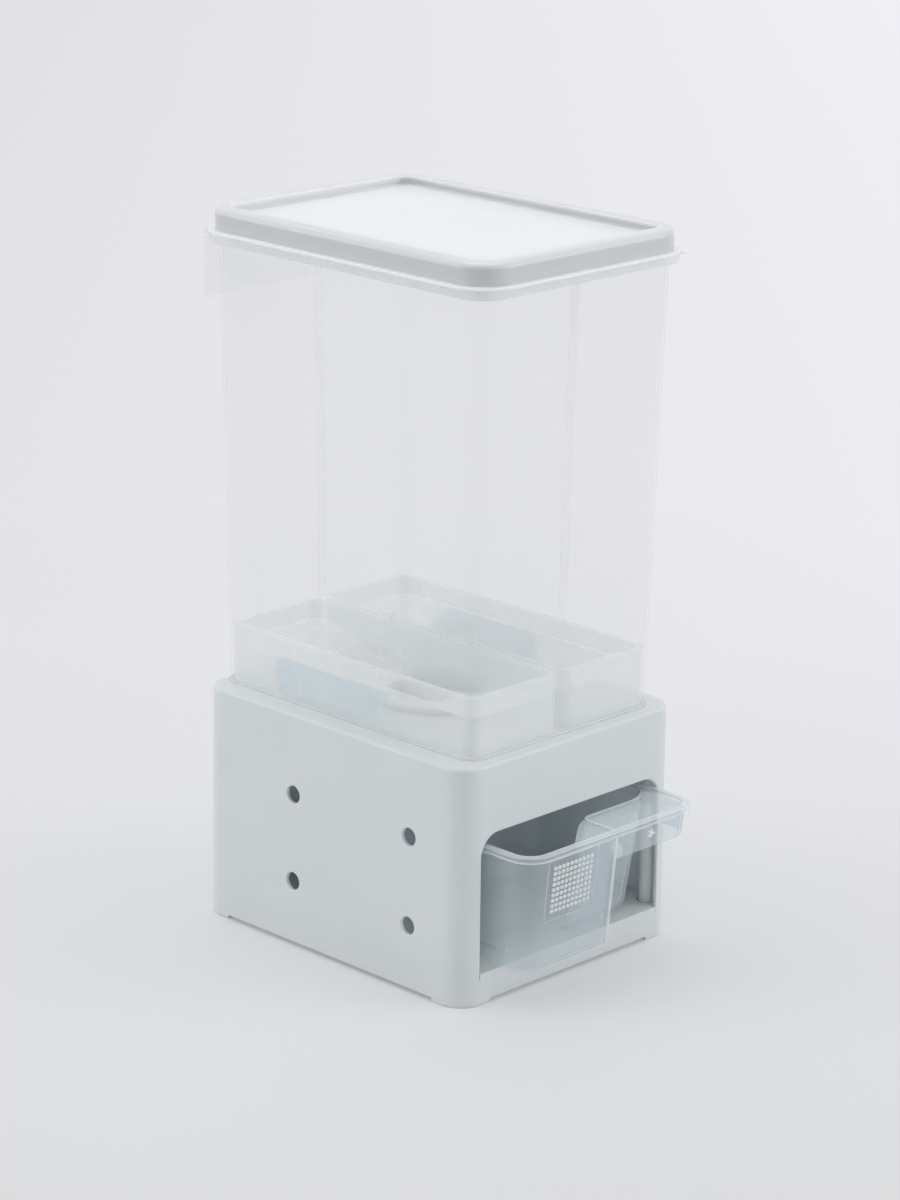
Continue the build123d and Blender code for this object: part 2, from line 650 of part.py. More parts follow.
def make_shutter_plate():
    """The tail behind the drawer that passes under the spout and holds the rice back."""
    z0 = DRAWER_RIM_HEIGHT
    half = DRAWER_RIM_WIDTH / 2 - SHUTTER_INSET
    front = DRAWER_REAR - SHUTTER_LAP
    rear = base_size(z0, BASE_WALL)[1] / 2 - SHUTTER_END_GAP - DRAWER_OUT
    face = rounded(2 * half, rear - front, SHUTTER_CORNER, z0, y=(front + rear) / 2)
    plate = extrude(face, amount=SHUTTER_THICK)

    # apron behind the drawer's rim, and two ribs that stiffen the tail
    back = DRAWER_REAR + DRAWER_CLEARANCE
    z_root = z0 + SHUTTER_THICK / 2
    wide = half - SHUTTER_CORNER
    plate += box(-wide, wide, back, back + SHUTTER_THICK, z0 - SHUTTER_APRON, z_root)
    for _, side in SIDES:
        x = side * (half - SHUTTER_RIB_INSET)
        thick = SHUTTER_THICK / 2
        plate += box(x - thick, x + thick, back, rear - SHUTTER_CORNER, z0 - SHUTTER_RIB, z_root)
        hole_y = back + SHUTTER_THICK + OVER
        plate -= pin(side * SHUTTER_SCREW_X, back - OVER, hole_y, shutter_screw_z(), SCREW_HOLE)
    return plate


def make_shutter_screws():
    """Two screws that hold the shutter plate to the drawer's rear wall."""
    y_head = DRAWER_REAR + DRAWER_CLEARANCE + SHUTTER_THICK + SCREW_HEAD_HEIGHT
    screws = []
    for _, side in SIDES:
        place = Pos(side * SHUTTER_SCREW_X, y_head, shutter_screw_z())
        screws.append(place * Rot(90, 0, 0) * screw(0, 0, 0, SHUTTER_SCREW_LENGTH))
    return screws


def end_wall(z, front):
    """The inner face of the tank's front or rear wall at a height."""
    half = tank_size(z, TANK_WALL)[1] / 2
    return TANK_SET_BACK - half if front else TANK_SET_BACK + half


def make_channel(front):
    """The pad and the two ribs of one divider channel, which lean with the tank's end wall."""
    inward = 1 if front else -1
    inner = DIVIDER_THICK / 2 + DIVIDER_GAP
    strips = [(-CHANNEL_PAD / 2, CHANNEL_PAD / 2, CHANNEL_PAD_THICK)]
    strips += [(side * inner, side * (inner + CHANNEL_RIB), CHANNEL_DEPTH) for _, side in SIDES]
    made = []
    for x0, x1, depth in strips:
        faces = []
        for z in (HOPPER_RIM + CHANNEL_LIFT, DIVIDER_TOP):
            wall = end_wall(z, front)
            y0 = wall - inward * TANK_WALL / 2
            y1 = wall + inward * depth
            faces.append(Pos((x0 + x1) / 2, (y0 + y1) / 2, z) * Rectangle(abs(x1 - x0), abs(y1 - y0)))
        made.append(ruled(*faces))
    return made


def make_tank():
    """The clear tank: tapered shell, rim, foot bead, divider channels and grip skirt."""
    tank = tank_block(TANK_BOTTOM, TANK_TOP)
    width, depth, corner = tank_size(TANK_TOP)
    grown = (width + 2 * TANK_RIM_PROUD, depth + 2 * TANK_RIM_PROUD, corner + TANK_RIM_PROUD)
    rim = extrude(rounded(*grown, TANK_TOP - TANK_RIM_HEIGHT, y=TANK_SET_BACK), amount=TANK_RIM_HEIGHT)
    tank += fillet(bottom_edges(rim), TANK_RIM_ROUND)

    bead_face = rounded(*tank_size(TANK_BOTTOM, -FOOT_BEAD_PROUD), TANK_BOTTOM, y=TANK_SET_BACK)
    bead = extrude(bead_face, amount=FOOT_BEAD_HEIGHT)
    tank += fillet(top_edges(bead) + bottom_edges(bead), FOOT_BEAD_ROUND)
    tank += make_grip()
    tank -= tank_block(TANK_FLOOR_TOP, TANK_TOP + OVER, TANK_WALL)
    for front in (True, False):
        for strip in make_channel(front):
            tank += strip
    through = (TANK_BOTTOM - OVER, TANK_FLOOR_TOP + OVER)
    tank -= post(0, 0, *through, CHUTE_DIAMETER + 2 * CHUTE_GAP)
    for x, y in chute_screw_places():
        tank -= post(x, y, *through, SCREW_HOLE)
    return tank


def make_grip():
    """The open skirt under the rim at the rear, for the fingers that lift the tank."""
    width, depth, _ = tank_size(TANK_TOP)
    width -= 2 * GRIP_INSET
    wall = TANK_SET_BACK + depth / 2
    front = wall - GRIP_REACH
    rear = wall + GRIP_REACH
    low = TANK_TOP - GRIP_DROP
    middle = (front + rear) / 2
    outer = extrude(rounded(width, rear - front, GRIP_CORNER, low, y=middle), amount=GRIP_DROP)
    inset = 2 * GRIP_WALL
    room = rounded(width - inset, rear - front - inset, GRIP_CORNER - GRIP_WALL, low, y=middle)
    skirt = outer - extrude(room, amount=GRIP_DROP - GRIP_WALL)
    lean = TANK_END_LEAN * GRIP_DROP / TANK_HEIGHT
    return skirt & box(-width, width, wall - lean - TANK_WALL / 2, rear + OVER, low, TANK_TOP)


def make_divider():
    """The upright plate between the two halves of the tank, with a foot between the hoppers."""
    z0 = HOPPER_RIM
    clear = CHANNEL_PAD_THICK + DIVIDER_GAP
    corners = []
    for z, front in ((z0, True), (z0, False), (DIVIDER_TOP, False), (DIVIDER_TOP, True)):
        y = end_wall(z, front)
        corners.append((y + clear if front else y - clear, z))
    half = DIVIDER_THICK / 2
    face = Plane.YZ * make_face(Polyline(*corners, close=True))
    upper = Pos(-half, 0, 0) * extrude(face, amount=DIVIDER_THICK)
    reach = hopper_span(HOPPER_RIM)[1] / 2 - HOPPER_CORNER
    return upper + box(-half, half, TANK_SET_BACK - reach, TANK_SET_BACK + reach, CHUTE_TOP, z0)


def hopper_span(z, inset=0.0):
    """Width and depth of one hopper at a height, inside the tank's wall and beside the divider."""
    width, depth, _ = tank_size(z, TANK_WALL + HOPPER_GAP + inset)
    return width / 2 - HOPPER_SIDE - inset, depth


def hopper_rect(z, side, inset=0.0):
    """The plan of one hopper at a height."""
    width, depth = hopper_span(z, inset)
    middle = side * (HOPPER_SIDE + inset + width / 2)
    return rounded(width, depth, HOPPER_CORNER - inset, z, middle, TANK_SET_BACK)


def hopper_mouth(z, side, grow=0.0):
    """The plan of the hole at the bottom of a hopper."""
    inner = HOPPER_SIDE + HOPPER_WALL - grow
    outer = CHUTE_BORE - HOPPER_MOUTH_SETBACK + grow
    length = HOPPER_MOUTH_LENGTH + 2 * grow
    return rounded(outer - inner, length, HOPPER_MOUTH_CORNER + grow, z, side * (inner + outer) / 2)


def slope_lift():
    """How much higher a slope's upper side lies than its underside."""
    run = hopper_span(HOPPER_SLOPE_TOP)[0] - CHUTE_BORE
    rise = HOPPER_SLOPE_TOP - CHUTE_TOP
    return HOPPER_WALL * sqrt(run**2 + rise**2) / run


def make_hopper(side):
    """A funnel insert: skirt against the tank's wall, rim on top and slopes to the mouth."""
    low = TANK_FLOOR_TOP
    rim = HOPPER_RIM
    hopper = ruled(hopper_rect(low, side), hopper_rect(rim, side))
    hopper -= ruled(hopper_rect(low - OVER, side, HOPPER_WALL), hopper_rect(rim + OVER, side, HOPPER_WALL))

    rim_low = rim - HOPPER_RIM_THICK
    band = ruled(hopper_rect(rim_low, side), hopper_rect(rim, side))
    inner_low = hopper_rect(rim_low - OVER, side, HOPPER_RIM_WIDTH)
    band -= ruled(inner_low, hopper_rect(rim + OVER, side, HOPPER_RIM_WIDTH))
    hopper += band

    # funnel between the skirt and the mouth
    lift = slope_lift()
    slope_top = HOPPER_SLOPE_TOP
    funnel = ruled(hopper_mouth(CHUTE_TOP, side, HOPPER_WALL), hopper_rect(slope_top, side))
    funnel -= ruled(hopper_mouth(CHUTE_TOP + lift, side), hopper_rect(slope_top + lift, side, HOPPER_WALL))
    funnel -= ruled(hopper_mouth(CHUTE_TOP - OVER, side), hopper_mouth(CHUTE_TOP + lift + OVER, side))
    hopper += funnel

    # the skirt stands clear of the outlet's flange, and two prongs clip to the divider
    hopper -= post(0, 0, low - OVER, CHUTE_TOP, CHUTE_FLANGE + 2 * HOPPER_GAP)
    half = HOPPER_CLIP_LENGTH / 2
    for y in HOPPER_CLIP_PLACES:
        x0 = side * HOPPER_SIDE
        x1 = side * (HOPPER_SIDE + HOPPER_WALL)
        hopper += box(x0, x1, y - half, y + half, rim_low, rim + HOPPER_CLIP_RISE)
    return hopper


def make_support(side):
    """The U-shaped stand under a hopper's slope, beside the tank's wall."""
    z0 = TANK_FLOOR_TOP
    outer = HOPPER_SIDE + hopper_span(z0)[0] - HOPPER_WALL - HOPPER_GAP
    x0, x1 = sorted((side * outer, side * (outer - SUPPORT_REACH)))
    wall = SUPPORT_WALL
    support = box(x0, x1, SUPPORT_FRONT, SUPPORT_REAR, z0, HOPPER_RIM)
    core = (x0 + wall, x1 - wall, SUPPORT_FRONT + wall, SUPPORT_REAR - wall)
    support -= box(*core, z0 - OVER, HOPPER_RIM + OVER)
    slope_top = HOPPER_SLOPE_TOP - HOPPER_GAP
    under = ruled(hopper_mouth(CHUTE_TOP - HOPPER_GAP, side, HOPPER_WALL), hopper_rect(slope_top, side))
    above = ruled(hopper_rect(slope_top, side), hopper_rect(HOPPER_RIM + OVER, side))
    return support - under - above


def make_flow_guide(side):
    """The curved upright guide that stands on the slope behind a hopper's mouth."""
    x = side * GUIDE_X
    z0 = TANK_FLOOR_TOP
    z1 = HOPPER_RIM - GUIDE_BELOW_RIM
    guide = post(x, GUIDE_Y, z0, z1, 2 * GUIDE_RADIUS)
    guide -= post(x, GUIDE_Y, z0 - OVER, z1 + OVER, 2 * (GUIDE_RADIUS - GUIDE_WALL))
    guide &= box(x - GUIDE_RADIUS, x + GUIDE_RADIUS, GUIDE_Y, GUIDE_Y + GUIDE_RADIUS, z0, z1)
    lift = slope_lift() + HOPPER_GAP
    slope_top = HOPPER_SLOPE_TOP + lift
    side_room = hopper_rect(slope_top, side, HOPPER_WALL)
    room = ruled(hopper_mouth(CHUTE_TOP + lift, side), side_room)
    room += ruled(side_room, hopper_rect(slope_top + HOPPER_SLOPE_DROP, side, HOPPER_WALL))
    return guide & room


def chute_screw_places():
    """Where the screws of the outlet stand."""
    turns = [radians(90 * quarter) for quarter in range(4)]
    return [(CHUTE_SCREW_RADIUS * cos(turn), CHUTE_SCREW_RADIUS * sin(turn)) for turn in turns]


def half_bore(side, radius, z0, z1):
    """One half of a round passage, beside the middle wall."""
    edge = DIVIDER_THICK / 2
    return post(0, 0, z0, z1, 2 * radius) & box(side * edge, side * 2 * radius, -radius, radius, z0, z1)


def make_outlet_chute():
    """The collar through the tank's floor, parted in the middle."""
    low = GATE_TOP + 2 * GATE_GAP
    chute = post(0, 0, low, CHUTE_TOP, CHUTE_DIAMETER)
    chute += post(0, 0, TANK_FLOOR_TOP, CHUTE_TOP, CHUTE_FLANGE)
    for _, side in SIDES:
        chute -= half_bore(side, CHUTE_BORE, low - OVER, CHUTE_TOP + OVER)
    for x, y in chute_screw_places():
        chute -= post(x, y, TANK_FLOOR_TOP - OVER, CHUTE_TOP - SCREW_TIP_ROOM, SCREW_PILOT)
    return chute


def gate_span():
    """The inner and outer edges of a gate from the middle, and its rear edge."""
    return DIVIDER_THICK / 2 + GATE_INSET, CHUTE_RADIUS, CHUTE_RADIUS


def make_gate_frame():
    """The block under the tank's floor that holds the gates, with its spout."""
    half = FRAME_HALF
    frame = box(-half, half, -half, half, FRAME_BOTTOM, TANK_BOTTOM)
    height = FRAME_BOTTOM - SPOUT_END
    middle = Pos(0, 0, FRAME_BOTTOM - height / 2)
    frame += middle * Cone(SPOUT_MOUTH / 2 + CHUTE_WALL, CHUTE_RADIUS, height)
    frame -= post(0, 0, GATE_TOP + GATE_GAP, TANK_BOTTOM + OVER, CHUTE_DIAMETER + 2 * GATE_GAP)

    # the passage on each side of the middle wall, and the slot for its gate
    funnel = middle * Cone(SPOUT_MOUTH / 2, CHUTE_BORE, height)
    gate_low = GATE_TOP - GATE_THICK - GATE_GAP
    inner, outer, rear = gate_span()
    for _, side in SIDES:
        frame -= half_bore(side, CHUTE_BORE, FRAME_BOTTOM, GATE_TOP)
        frame -= funnel & half_bore(side, CHUTE_BORE, SPOUT_END, FRAME_BOTTOM)
        slot = (side * (inner - GATE_GAP), side * (outer + GATE_GAP), -half - OVER, rear + GATE_GAP)
        frame -= box(*slot, gate_low, GATE_TOP + GATE_GAP)
    for x, y in chute_screw_places():
        frame -= post(x, y, FRAME_BOTTOM - OVER, TANK_BOTTOM + OVER, SCREW_HOLE)
        head = SCREW_HEAD + 2 * SCREW_TIP_ROOM
        frame -= post(x, y, FRAME_BOTTOM - OVER, FRAME_BOTTOM + SCREW_HEAD_HEIGHT, head)
    return frame


def make_gate(side):
    """A sliding plate under one half of the outlet, with a finger lip at its front."""
    inner, outer, rear = gate_span()
    front = -FRAME_HALF - GATE_FRONT
    gate = box(side * inner, side * outer, front, rear, GATE_TOP - GATE_THICK, GATE_TOP)
    gate += box(side * inner, side * outer, front, front + GATE_THICK, GATE_TOP - GATE_LIP_DROP, GATE_TOP)
    return gate


def make_chute_screws():
    """Four screws that clamp the tank's floor between the outlet and the gate frame."""
    length = CHUTE_TOP - 2 * SCREW_TIP_ROOM - FRAME_BOTTOM
    return [screw(x, y, FRAME_BOTTOM, length) for x, y in chute_screw_places()]


def lid_size(inset=0.0):
    """Width, depth and corner of the lid's body, drawn in by an inset."""
    width, depth, _ = tank_size(TANK_TOP)
    grow_x = 2 * (LID_SIDE_PROUD - inset)
    grow_y = 2 * (LID_END_PROUD - inset)
    return width + grow_x, depth + grow_y, LID_CORNER - inset


def lid_block(size, z0, z1):
    """A rounded block centred over the tank."""
    return extrude(rounded(*size, z0, y=TANK_SET_BACK), amount=z1 - z0)


def make_lid():
    """The white lid: hollow body with a sunken panel, flange, plug ring and tab."""
    body = fillet(top_edges(lid_block(lid_size(), TANK_TOP, LID_TOP)), LID_EDGE)
    width, depth, _ = lid_size(LID_MARGIN)
    panel = LID_TOP - LID_PANEL_DEPTH
    recess = lid_block((width, depth, LID_PANEL_CORNER), panel, LID_TOP + OVER)
    body -= fillet(bottom_edges(recess), LID_WALL)
    flange = lid_block(lid_size(-LID_FLANGE_PROUD), TANK_TOP, TANK_TOP + LID_FLANGE_THICK)
    body += fillet(top_edges(flange), LID_FLANGE_ROUND)
    body += lid_tab()

    # hollow under the margin, round the panel
    cavity = lid_block(lid_size(LID_WALL), TANK_TOP - OVER, LID_TOP - LID_WALL)
    cavity = fillet(top_edges(cavity), LID_EDGE - LID_WALL)
    core = (width + 2 * LID_WALL, depth + 2 * LID_WALL, LID_PANEL_CORNER + LID_WALL)
    cavity -= lid_block(core, panel - LID_WALL, LID_TOP)
    return body - cavity + plug_ring()


def lid_tab():
    """The small tab at the flange's front right corner."""
    width, depth, corner = lid_size()
    centre = Pos(width / 2 - corner, TANK_SET_BACK - depth / 2 + corner, TANK_TOP + LID_FLANGE_THICK / 2)
    tip = corner + LID_FLANGE_PROUD + LID_TAB_REACH
    root = tip - LID_TAB_REACH - LID_TAB_ROOT
    tab = Pos((tip + root) / 2, 0, 0) * Box(tip - root, LID_TAB_WIDTH, LID_FLANGE_THICK)
    tab = fillet(tab.edges().filter_by(Axis.Z), LID_TAB_REACH / 2)
    return centre * Rot(0, 0, -45) * tab


def plug_ring():
    """The ring under the lid that drops into the tank's mouth."""
    low = TANK_TOP - LID_PLUG_DEPTH
    high = LID_TOP - LID_WALL
    outer = TANK_WALL + LID_PLUG_GAP
    inner = outer + LID_PLUG_WALL
    ring = tank_block(low, TANK_TOP, outer) + lid_block(tank_size(TANK_TOP, outer), TANK_TOP, high)
    ring -= lid_block(tank_size(low, inner), low - OVER, high + OVER)
    return ring


def write(parts):
    """Write one STEP file for each piece, with the origin under the whole object's middle."""
    os.makedirs("parts", exist_ok=True)
    place = Pos(0, TO_MIDDLE, 0)
    for name, shape in parts.items():
        if isinstance(shape, list):
            shape = Compound(children=[place * screw_piece for screw_piece in shape])
        else:
            shape = place * shape
        export_step(shape, f"parts/{name}.step")


def main():
    """Make every piece and write it."""
    parts = {
        "base_cover": make_base_cover(),
        "floor_plate": make_floor_plate(),
        "plate_screws": make_plate_screws(),
        "drawer": make_drawer(),
        "front_label": make_front_label(),
        "shutter_plate": make_shutter_plate(),
        "shutter_screws": make_shutter_screws(),
        "tank": make_tank(),
        "divider": make_divider(),
        "outlet_chute": make_outlet_chute(),
        "gate_frame": make_gate_frame(),
        "chute_screws": make_chute_screws(),
        "lid": make_lid(),
    }
    for name, side in SIDES:
        parts[f"{name}_hopper"] = make_hopper(side)
        parts[f"{name}_support"] = make_support(side)
        parts[f"{name}_flow_guide"] = make_flow_guide(side)
        parts[f"{name}_gate"] = make_gate(side)
    write(parts)


main()
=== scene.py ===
"""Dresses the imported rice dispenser: finishes, small moulded details, camera, light and floor."""

import logging
import math
from dataclasses import dataclass
from enum import Enum

import bmesh
import bpy
from mathutils import Matrix, Vector


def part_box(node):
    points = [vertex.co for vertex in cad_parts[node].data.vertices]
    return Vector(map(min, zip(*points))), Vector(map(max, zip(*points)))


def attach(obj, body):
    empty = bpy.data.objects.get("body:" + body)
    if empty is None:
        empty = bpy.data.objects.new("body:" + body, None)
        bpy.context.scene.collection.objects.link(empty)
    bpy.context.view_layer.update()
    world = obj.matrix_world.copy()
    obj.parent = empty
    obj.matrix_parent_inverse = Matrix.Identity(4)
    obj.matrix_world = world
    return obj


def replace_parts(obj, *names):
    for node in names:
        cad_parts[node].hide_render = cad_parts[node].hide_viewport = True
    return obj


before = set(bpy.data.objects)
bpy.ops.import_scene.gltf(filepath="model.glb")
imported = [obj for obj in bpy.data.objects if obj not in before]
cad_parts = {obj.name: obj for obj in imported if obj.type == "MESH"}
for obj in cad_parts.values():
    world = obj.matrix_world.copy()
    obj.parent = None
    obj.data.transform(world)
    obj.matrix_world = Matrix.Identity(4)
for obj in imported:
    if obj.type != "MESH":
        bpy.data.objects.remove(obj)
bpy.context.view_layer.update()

log = logging.getLogger("rice_dispenser")

Colour = tuple[float, float, float]
Point = tuple[float, float, float]


class Body(Enum):
    """The moving bodies that pieces ride on."""

    BASE = "base"
    DRAWER = "drawer"
    TANK = "tank"
    LID = "lid"
    LEFT_GATE = "left_gate"
    RIGHT_GATE = "right_gate"


class Slot(Enum):
    """The record's material slots."""

    WHITE_SHELL = "white_shell"
    WHITE_LID = "white_lid"
    STEEL_SCREW = "steel_screw"
    CLEAR_DRAWER = "clear_drawer"
    DOT_PANEL = "dot_panel"
    CLEAR_TANK = "clear_tank"
    CLEAR_DIVIDER = "clear_divider"
    MILKY_HOPPER = "milky_hopper"
    BLUE_INSERT = "blue_insert"
    CLEAR_GUIDE = "clear_guide"


# ---------------------------------------------------------------- node trees

BAND_EDGE = 0.0004  # half the softness of a band's edge, in metres


class Tree:
    """Adds nodes to one node tree and joins them."""

    def __init__(self, tree: bpy.types.NodeTree) -> None:
        """Takes the tree to work on.

        Args:
            tree: A material's, group's or world's node tree.
        """
        self.tree = tree

    def add(self, kind: str, values: dict | None = None, **settings: object) -> bpy.types.Node:
        """Adds a node.

        Args:
            kind: The node's type name, such as "ShaderNodeTexNoise".
            values: Input values by socket name or number.
            **settings: The node's own properties.

        Returns:
            The new node.
        """
        node = self.tree.nodes.new(kind)
        node.location = (180 * (len(self.tree.nodes) % 8), -220 * (len(self.tree.nodes) // 8))
        for name, value in settings.items():
            setattr(node, name, value)
        for name, value in (values or {}).items():
            node.inputs[name].default_value = value
        return node

    def join(self, output: bpy.types.NodeSocket, *inputs: bpy.types.NodeSocket) -> None:
        """Links one output to one or more inputs."""
        for socket in inputs:
            self.tree.links.new(output, socket)

    def math(self, operation: str, first: object, second: object = 0.0) -> bpy.types.NodeSocket:
        """Adds a Math node.

        Args:
            operation: The Math node's operation.
            first: A socket or a number.
            second: A socket or a number.

        Returns:
            The node's output.
        """
        node = self.add("ShaderNodeMath", operation=operation)
        for socket, value in zip(node.inputs, (first, second)):
            if isinstance(value, bpy.types.NodeSocket):
                self.join(value, socket)
            else:
                socket.default_value = value
        return node.outputs[0]

    def spread(self, value: bpy.types.NodeSocket, low: float, high: float,
               to_low: float = 0.0, to_high: float = 1.0) -> bpy.types.NodeSocket:
        """Maps a value from one range to another, held at its ends.

        Args:
            value: The socket to map.
            low: The start of the range that is read.
            high: The end of the range that is read.
            to_low: What low becomes.
            to_high: What high becomes.

        Returns:
            The mapped output.
        """
        node = self.add("ShaderNodeMapRange", {1: low, 2: high, 3: to_low, 4: to_high})
        self.join(value, node.inputs[0])
        return node.outputs[0]

    def noise(self, scale: object, detail: float = 2.0, roughness: float = 0.5,
              stretch: Point = (1.0, 1.0, 1.0), turn: Point = (0.0, 0.0, 0.0)) -> bpy.types.NodeSocket:
        """Adds a noise that is fixed to the piece.

        Args:
            scale: Its scale per metre, a number or a socket.
            detail: Its layers.
            roughness: How strong the fine layers are.
            stretch: Scale of the coordinates along each axis.
            turn: Turn of the coordinates in radians.

        Returns:
            The noise's value.
        """
        place = self.add("ShaderNodeTexCoord")
        mapping = self.add("ShaderNodeMapping", {"Scale": stretch, "Rotation": turn})
        node = self.add("ShaderNodeTexNoise", {"Detail": detail, "Roughness": roughness})
        self.join(place.outputs["Object"], mapping.inputs["Vector"])
        self.join(mapping.outputs["Vector"], node.inputs["Vector"])
        if isinstance(scale, bpy.types.NodeSocket):
            self.join(scale, node.inputs["Scale"])
        else:
            node.inputs["Scale"].default_value = scale
        return node.outputs[0]

    def between_heights(self, low: float, high: float, share: float) -> bpy.types.NodeSocket:
        """Finds a level band of the piece.

        Args:
            low: The band's lower height in metres.
            high: Its upper height.
            share: The mask's value inside the band.

        Returns:
            A mask that is share inside the band and 0 outside.
        """
        place = self.add("ShaderNodeTexCoord")
        parts = self.add("ShaderNodeSeparateXYZ")
        self.join(place.outputs["Object"], parts.inputs[0])
        above = self.spread(parts.outputs["Z"], low - BAND_EDGE, low + BAND_EDGE, 0.0, share)
        below = self.spread(parts.outputs["Z"], high - BAND_EDGE, high + BAND_EDGE, 1.0, 0.0)
        return self.math("MULTIPLY", above, below)

    def blend(self, share: object, first: object, second: object) -> bpy.types.NodeSocket:
        """Mixes two colours.

        Args:
            share: How much of the second, a socket or a number.
            first: A colour or a socket.
            second: A colour or a socket.

        Returns:
            The mixed colour.
        """
        node = self.add("ShaderNodeMix", data_type="RGBA")
        sockets = (node.inputs[0], node.inputs[6], node.inputs[7])  # the factor and the two colours
        for socket, value in zip(sockets, (share, first, second)):
            if isinstance(value, bpy.types.NodeSocket):
                self.join(value, socket)
            elif isinstance(value, tuple):
                socket.default_value = (*value, 1.0)
            else:
                socket.default_value = value
        return node.outputs[2]


class Effect:
    """A shader node group that several finishes share."""

    name = "effect"
    inputs: dict[str, float] = {}
    outputs: tuple[str, ...] = ()

    def group(self) -> bpy.types.NodeTree:
        """Builds the group the first time it is asked for.

        Returns:
            The group.
        """
        found = bpy.data.node_groups.get(self.name)
        if found:
            return found
        tree = bpy.data.node_groups.new(self.name, "ShaderNodeTree")
        for name, value in self.inputs.items():
            socket = tree.interface.new_socket(name=name, in_out="INPUT", socket_type="NodeSocketFloat")
            socket.default_value = value
        for name in self.outputs:
            tree.interface.new_socket(name=name, in_out="OUTPUT", socket_type="NodeSocketFloat")
        work = Tree(tree)
        self.build(work, work.add("NodeGroupInput"), work.add("NodeGroupOutput"))
        return tree

    def build(self, work: Tree, given: bpy.types.Node, out: bpy.types.Node) -> None:
        """Fills the group; each effect has its own.

        Args:
            work: The group's tree.
            given: The group's input node.
            out: The group's output node.
        """
        raise NotImplementedError

    def place(self, work: Tree, **values: float) -> bpy.types.Node:
        """Places the group in a material.

        Args:
            work: The material's tree.
            **values: Values for the group's inputs, with _ for a space.

        Returns:
            The group node.
        """
        node = work.add("ShaderNodeGroup", node_tree=self.group())
        for name, value in values.items():
            node.inputs[name.replace("_", " ").capitalize()].default_value = value
        return node


class MouldGrain(Effect):
    """Fine spark-eroded grain and the slow waves of a cooled plastic wall."""

    name = "mould_grain"
    inputs = {"Grain": 900.0, "Fine": 0.5, "Waves": 0.5}
    outputs = ("Height", "Mottle")

    def build(self, work: Tree, given: bpy.types.Node, out: bpy.types.Node) -> None:
        """Fills the group with a fine and a slow noise.

        Args:
            work: The group's tree.
            given: The group's input node.
            out: The group's output node.
        """
        fine = work.noise(given.outputs["Grain"], 3.0, 0.6)
        slow = work.noise(22.0, 2.0, 0.45)
        height = work.math("MULTIPLY", fine, given.outputs["Fine"])
        waves = work.math("MULTIPLY", slow, given.outputs["Waves"])
        work.join(work.math("ADD", height, waves), out.inputs["Height"])
        work.join(work.spread(work.noise(14.0, 5.0, 0.6), 0.35, 0.68), out.inputs["Mottle"])


class Handling(Effect):
    """Hairline scratches and dull finger smudges of a thing in daily use."""

    name = "handling_marks"
    inputs = {"Scratches": 1.0, "Smudges": 1.0}
    outputs = ("Lines", "Dull")
    sweeps = (((0.3, 0.5, 0.2), (1, 1, 26)), ((1.1, 0.2, 0.9), (24, 1, 1)), ((0.5, 1.3, 0.4), (1, 30, 1)))
    line_level = 0.66
    line_width = 0.006

    def build(self, work: Tree, given: bpy.types.Node, out: bpy.types.Node) -> None:
        """Fills the group with thin stretched noise and soft patches.

        Args:
            work: The group's tree.
            given: The group's input node.
            out: The group's output node.
        """
        lines = None
        for turn, stretch in self.sweeps:
            thin = work.noise(34.0, 1.0, 0.4, stretch, turn)
            off = work.math("ABSOLUTE", work.math("SUBTRACT", thin, self.line_level))
            thin = work.spread(off, 0.0, self.line_width, 1.0, 0.0)
            lines = thin if lines is None else work.math("MAXIMUM", lines, thin)
        patches = work.spread(work.noise(18.0, 3.0, 0.6), 0.5, 0.62)
        lines = work.math("MULTIPLY", work.math("MULTIPLY", lines, patches), given.outputs["Scratches"])
        work.join(lines, out.inputs["Lines"])
        dull = work.spread(work.noise(26.0, 4.0, 0.65, (1, 1, 0.6)), 0.48, 0.7)
        work.join(work.math("MULTIPLY", dull, given.outputs["Smudges"]), out.inputs["Dull"])


class SettledDust(Effect):
    """Pale dust on faces that look up."""

    name = "settled_dust"
    inputs = {"Amount": 0.5}
    outputs = ("Dust",)

    def build(self, work: Tree, given: bpy.types.Node, out: bpy.types.Node) -> None:
        """Fills the group with upward faces times a speckled noise.

        Args:
            work: The group's tree.
            given: The group's input node.
            out: The group's output node.
        """
        facing = work.add("ShaderNodeNewGeometry")
        parts = work.add("ShaderNodeSeparateXYZ")
        work.join(facing.outputs["Normal"], parts.inputs[0])
        upward = work.spread(parts.outputs["Z"], 0.5, 1.0)
        specks = work.spread(work.noise(420.0, 4.0, 0.7), 0.52, 0.72)
        drift = work.spread(work.noise(30.0, 3.0, 0.5), 0.35, 0.75)
        dust = work.math("MULTIPLY", work.math("MULTIPLY", specks, drift), upward)
        work.join(work.math("MULTIPLY", dust, given.outputs["Amount"]), out.inputs["Dust"])


class EdgeWear(Effect):
    """Rubbed corners and rims, found from how sharply the surface turns."""

    name = "edge_wear"
    inputs = {"Amount": 0.5}
    outputs = ("Rubbed",)

    def build(self, work: Tree, given: bpy.types.Node, out: bpy.types.Node) -> None:
        """Fills the group with pointiness broken up by noise.

        Args:
            work: The group's tree.
            given: The group's input node.
            out: The group's output node.
        """
        facing = work.add("ShaderNodeNewGeometry")
        sharp = work.spread(facing.outputs["Pointiness"], 0.52, 0.60)
        broken = work.spread(work.noise(160.0, 4.0, 0.6), 0.35, 0.65)
        rubbed = work.math("MULTIPLY", sharp, broken)
        work.join(work.math("MULTIPLY", rubbed, given.outputs["Amount"]), out.inputs["Rubbed"])


# ------------------------------------------------------------------ finishes

DUST_COLOUR: Colour = (0.62, 0.60, 0.56)
SCRATCH_SHADE = 0.8  # a scratch's colour, as a share of the plastic's
SOAK_TINT: Colour = (1.0, 0.95, 0.88)  # how far red, green and blue soak, against each other


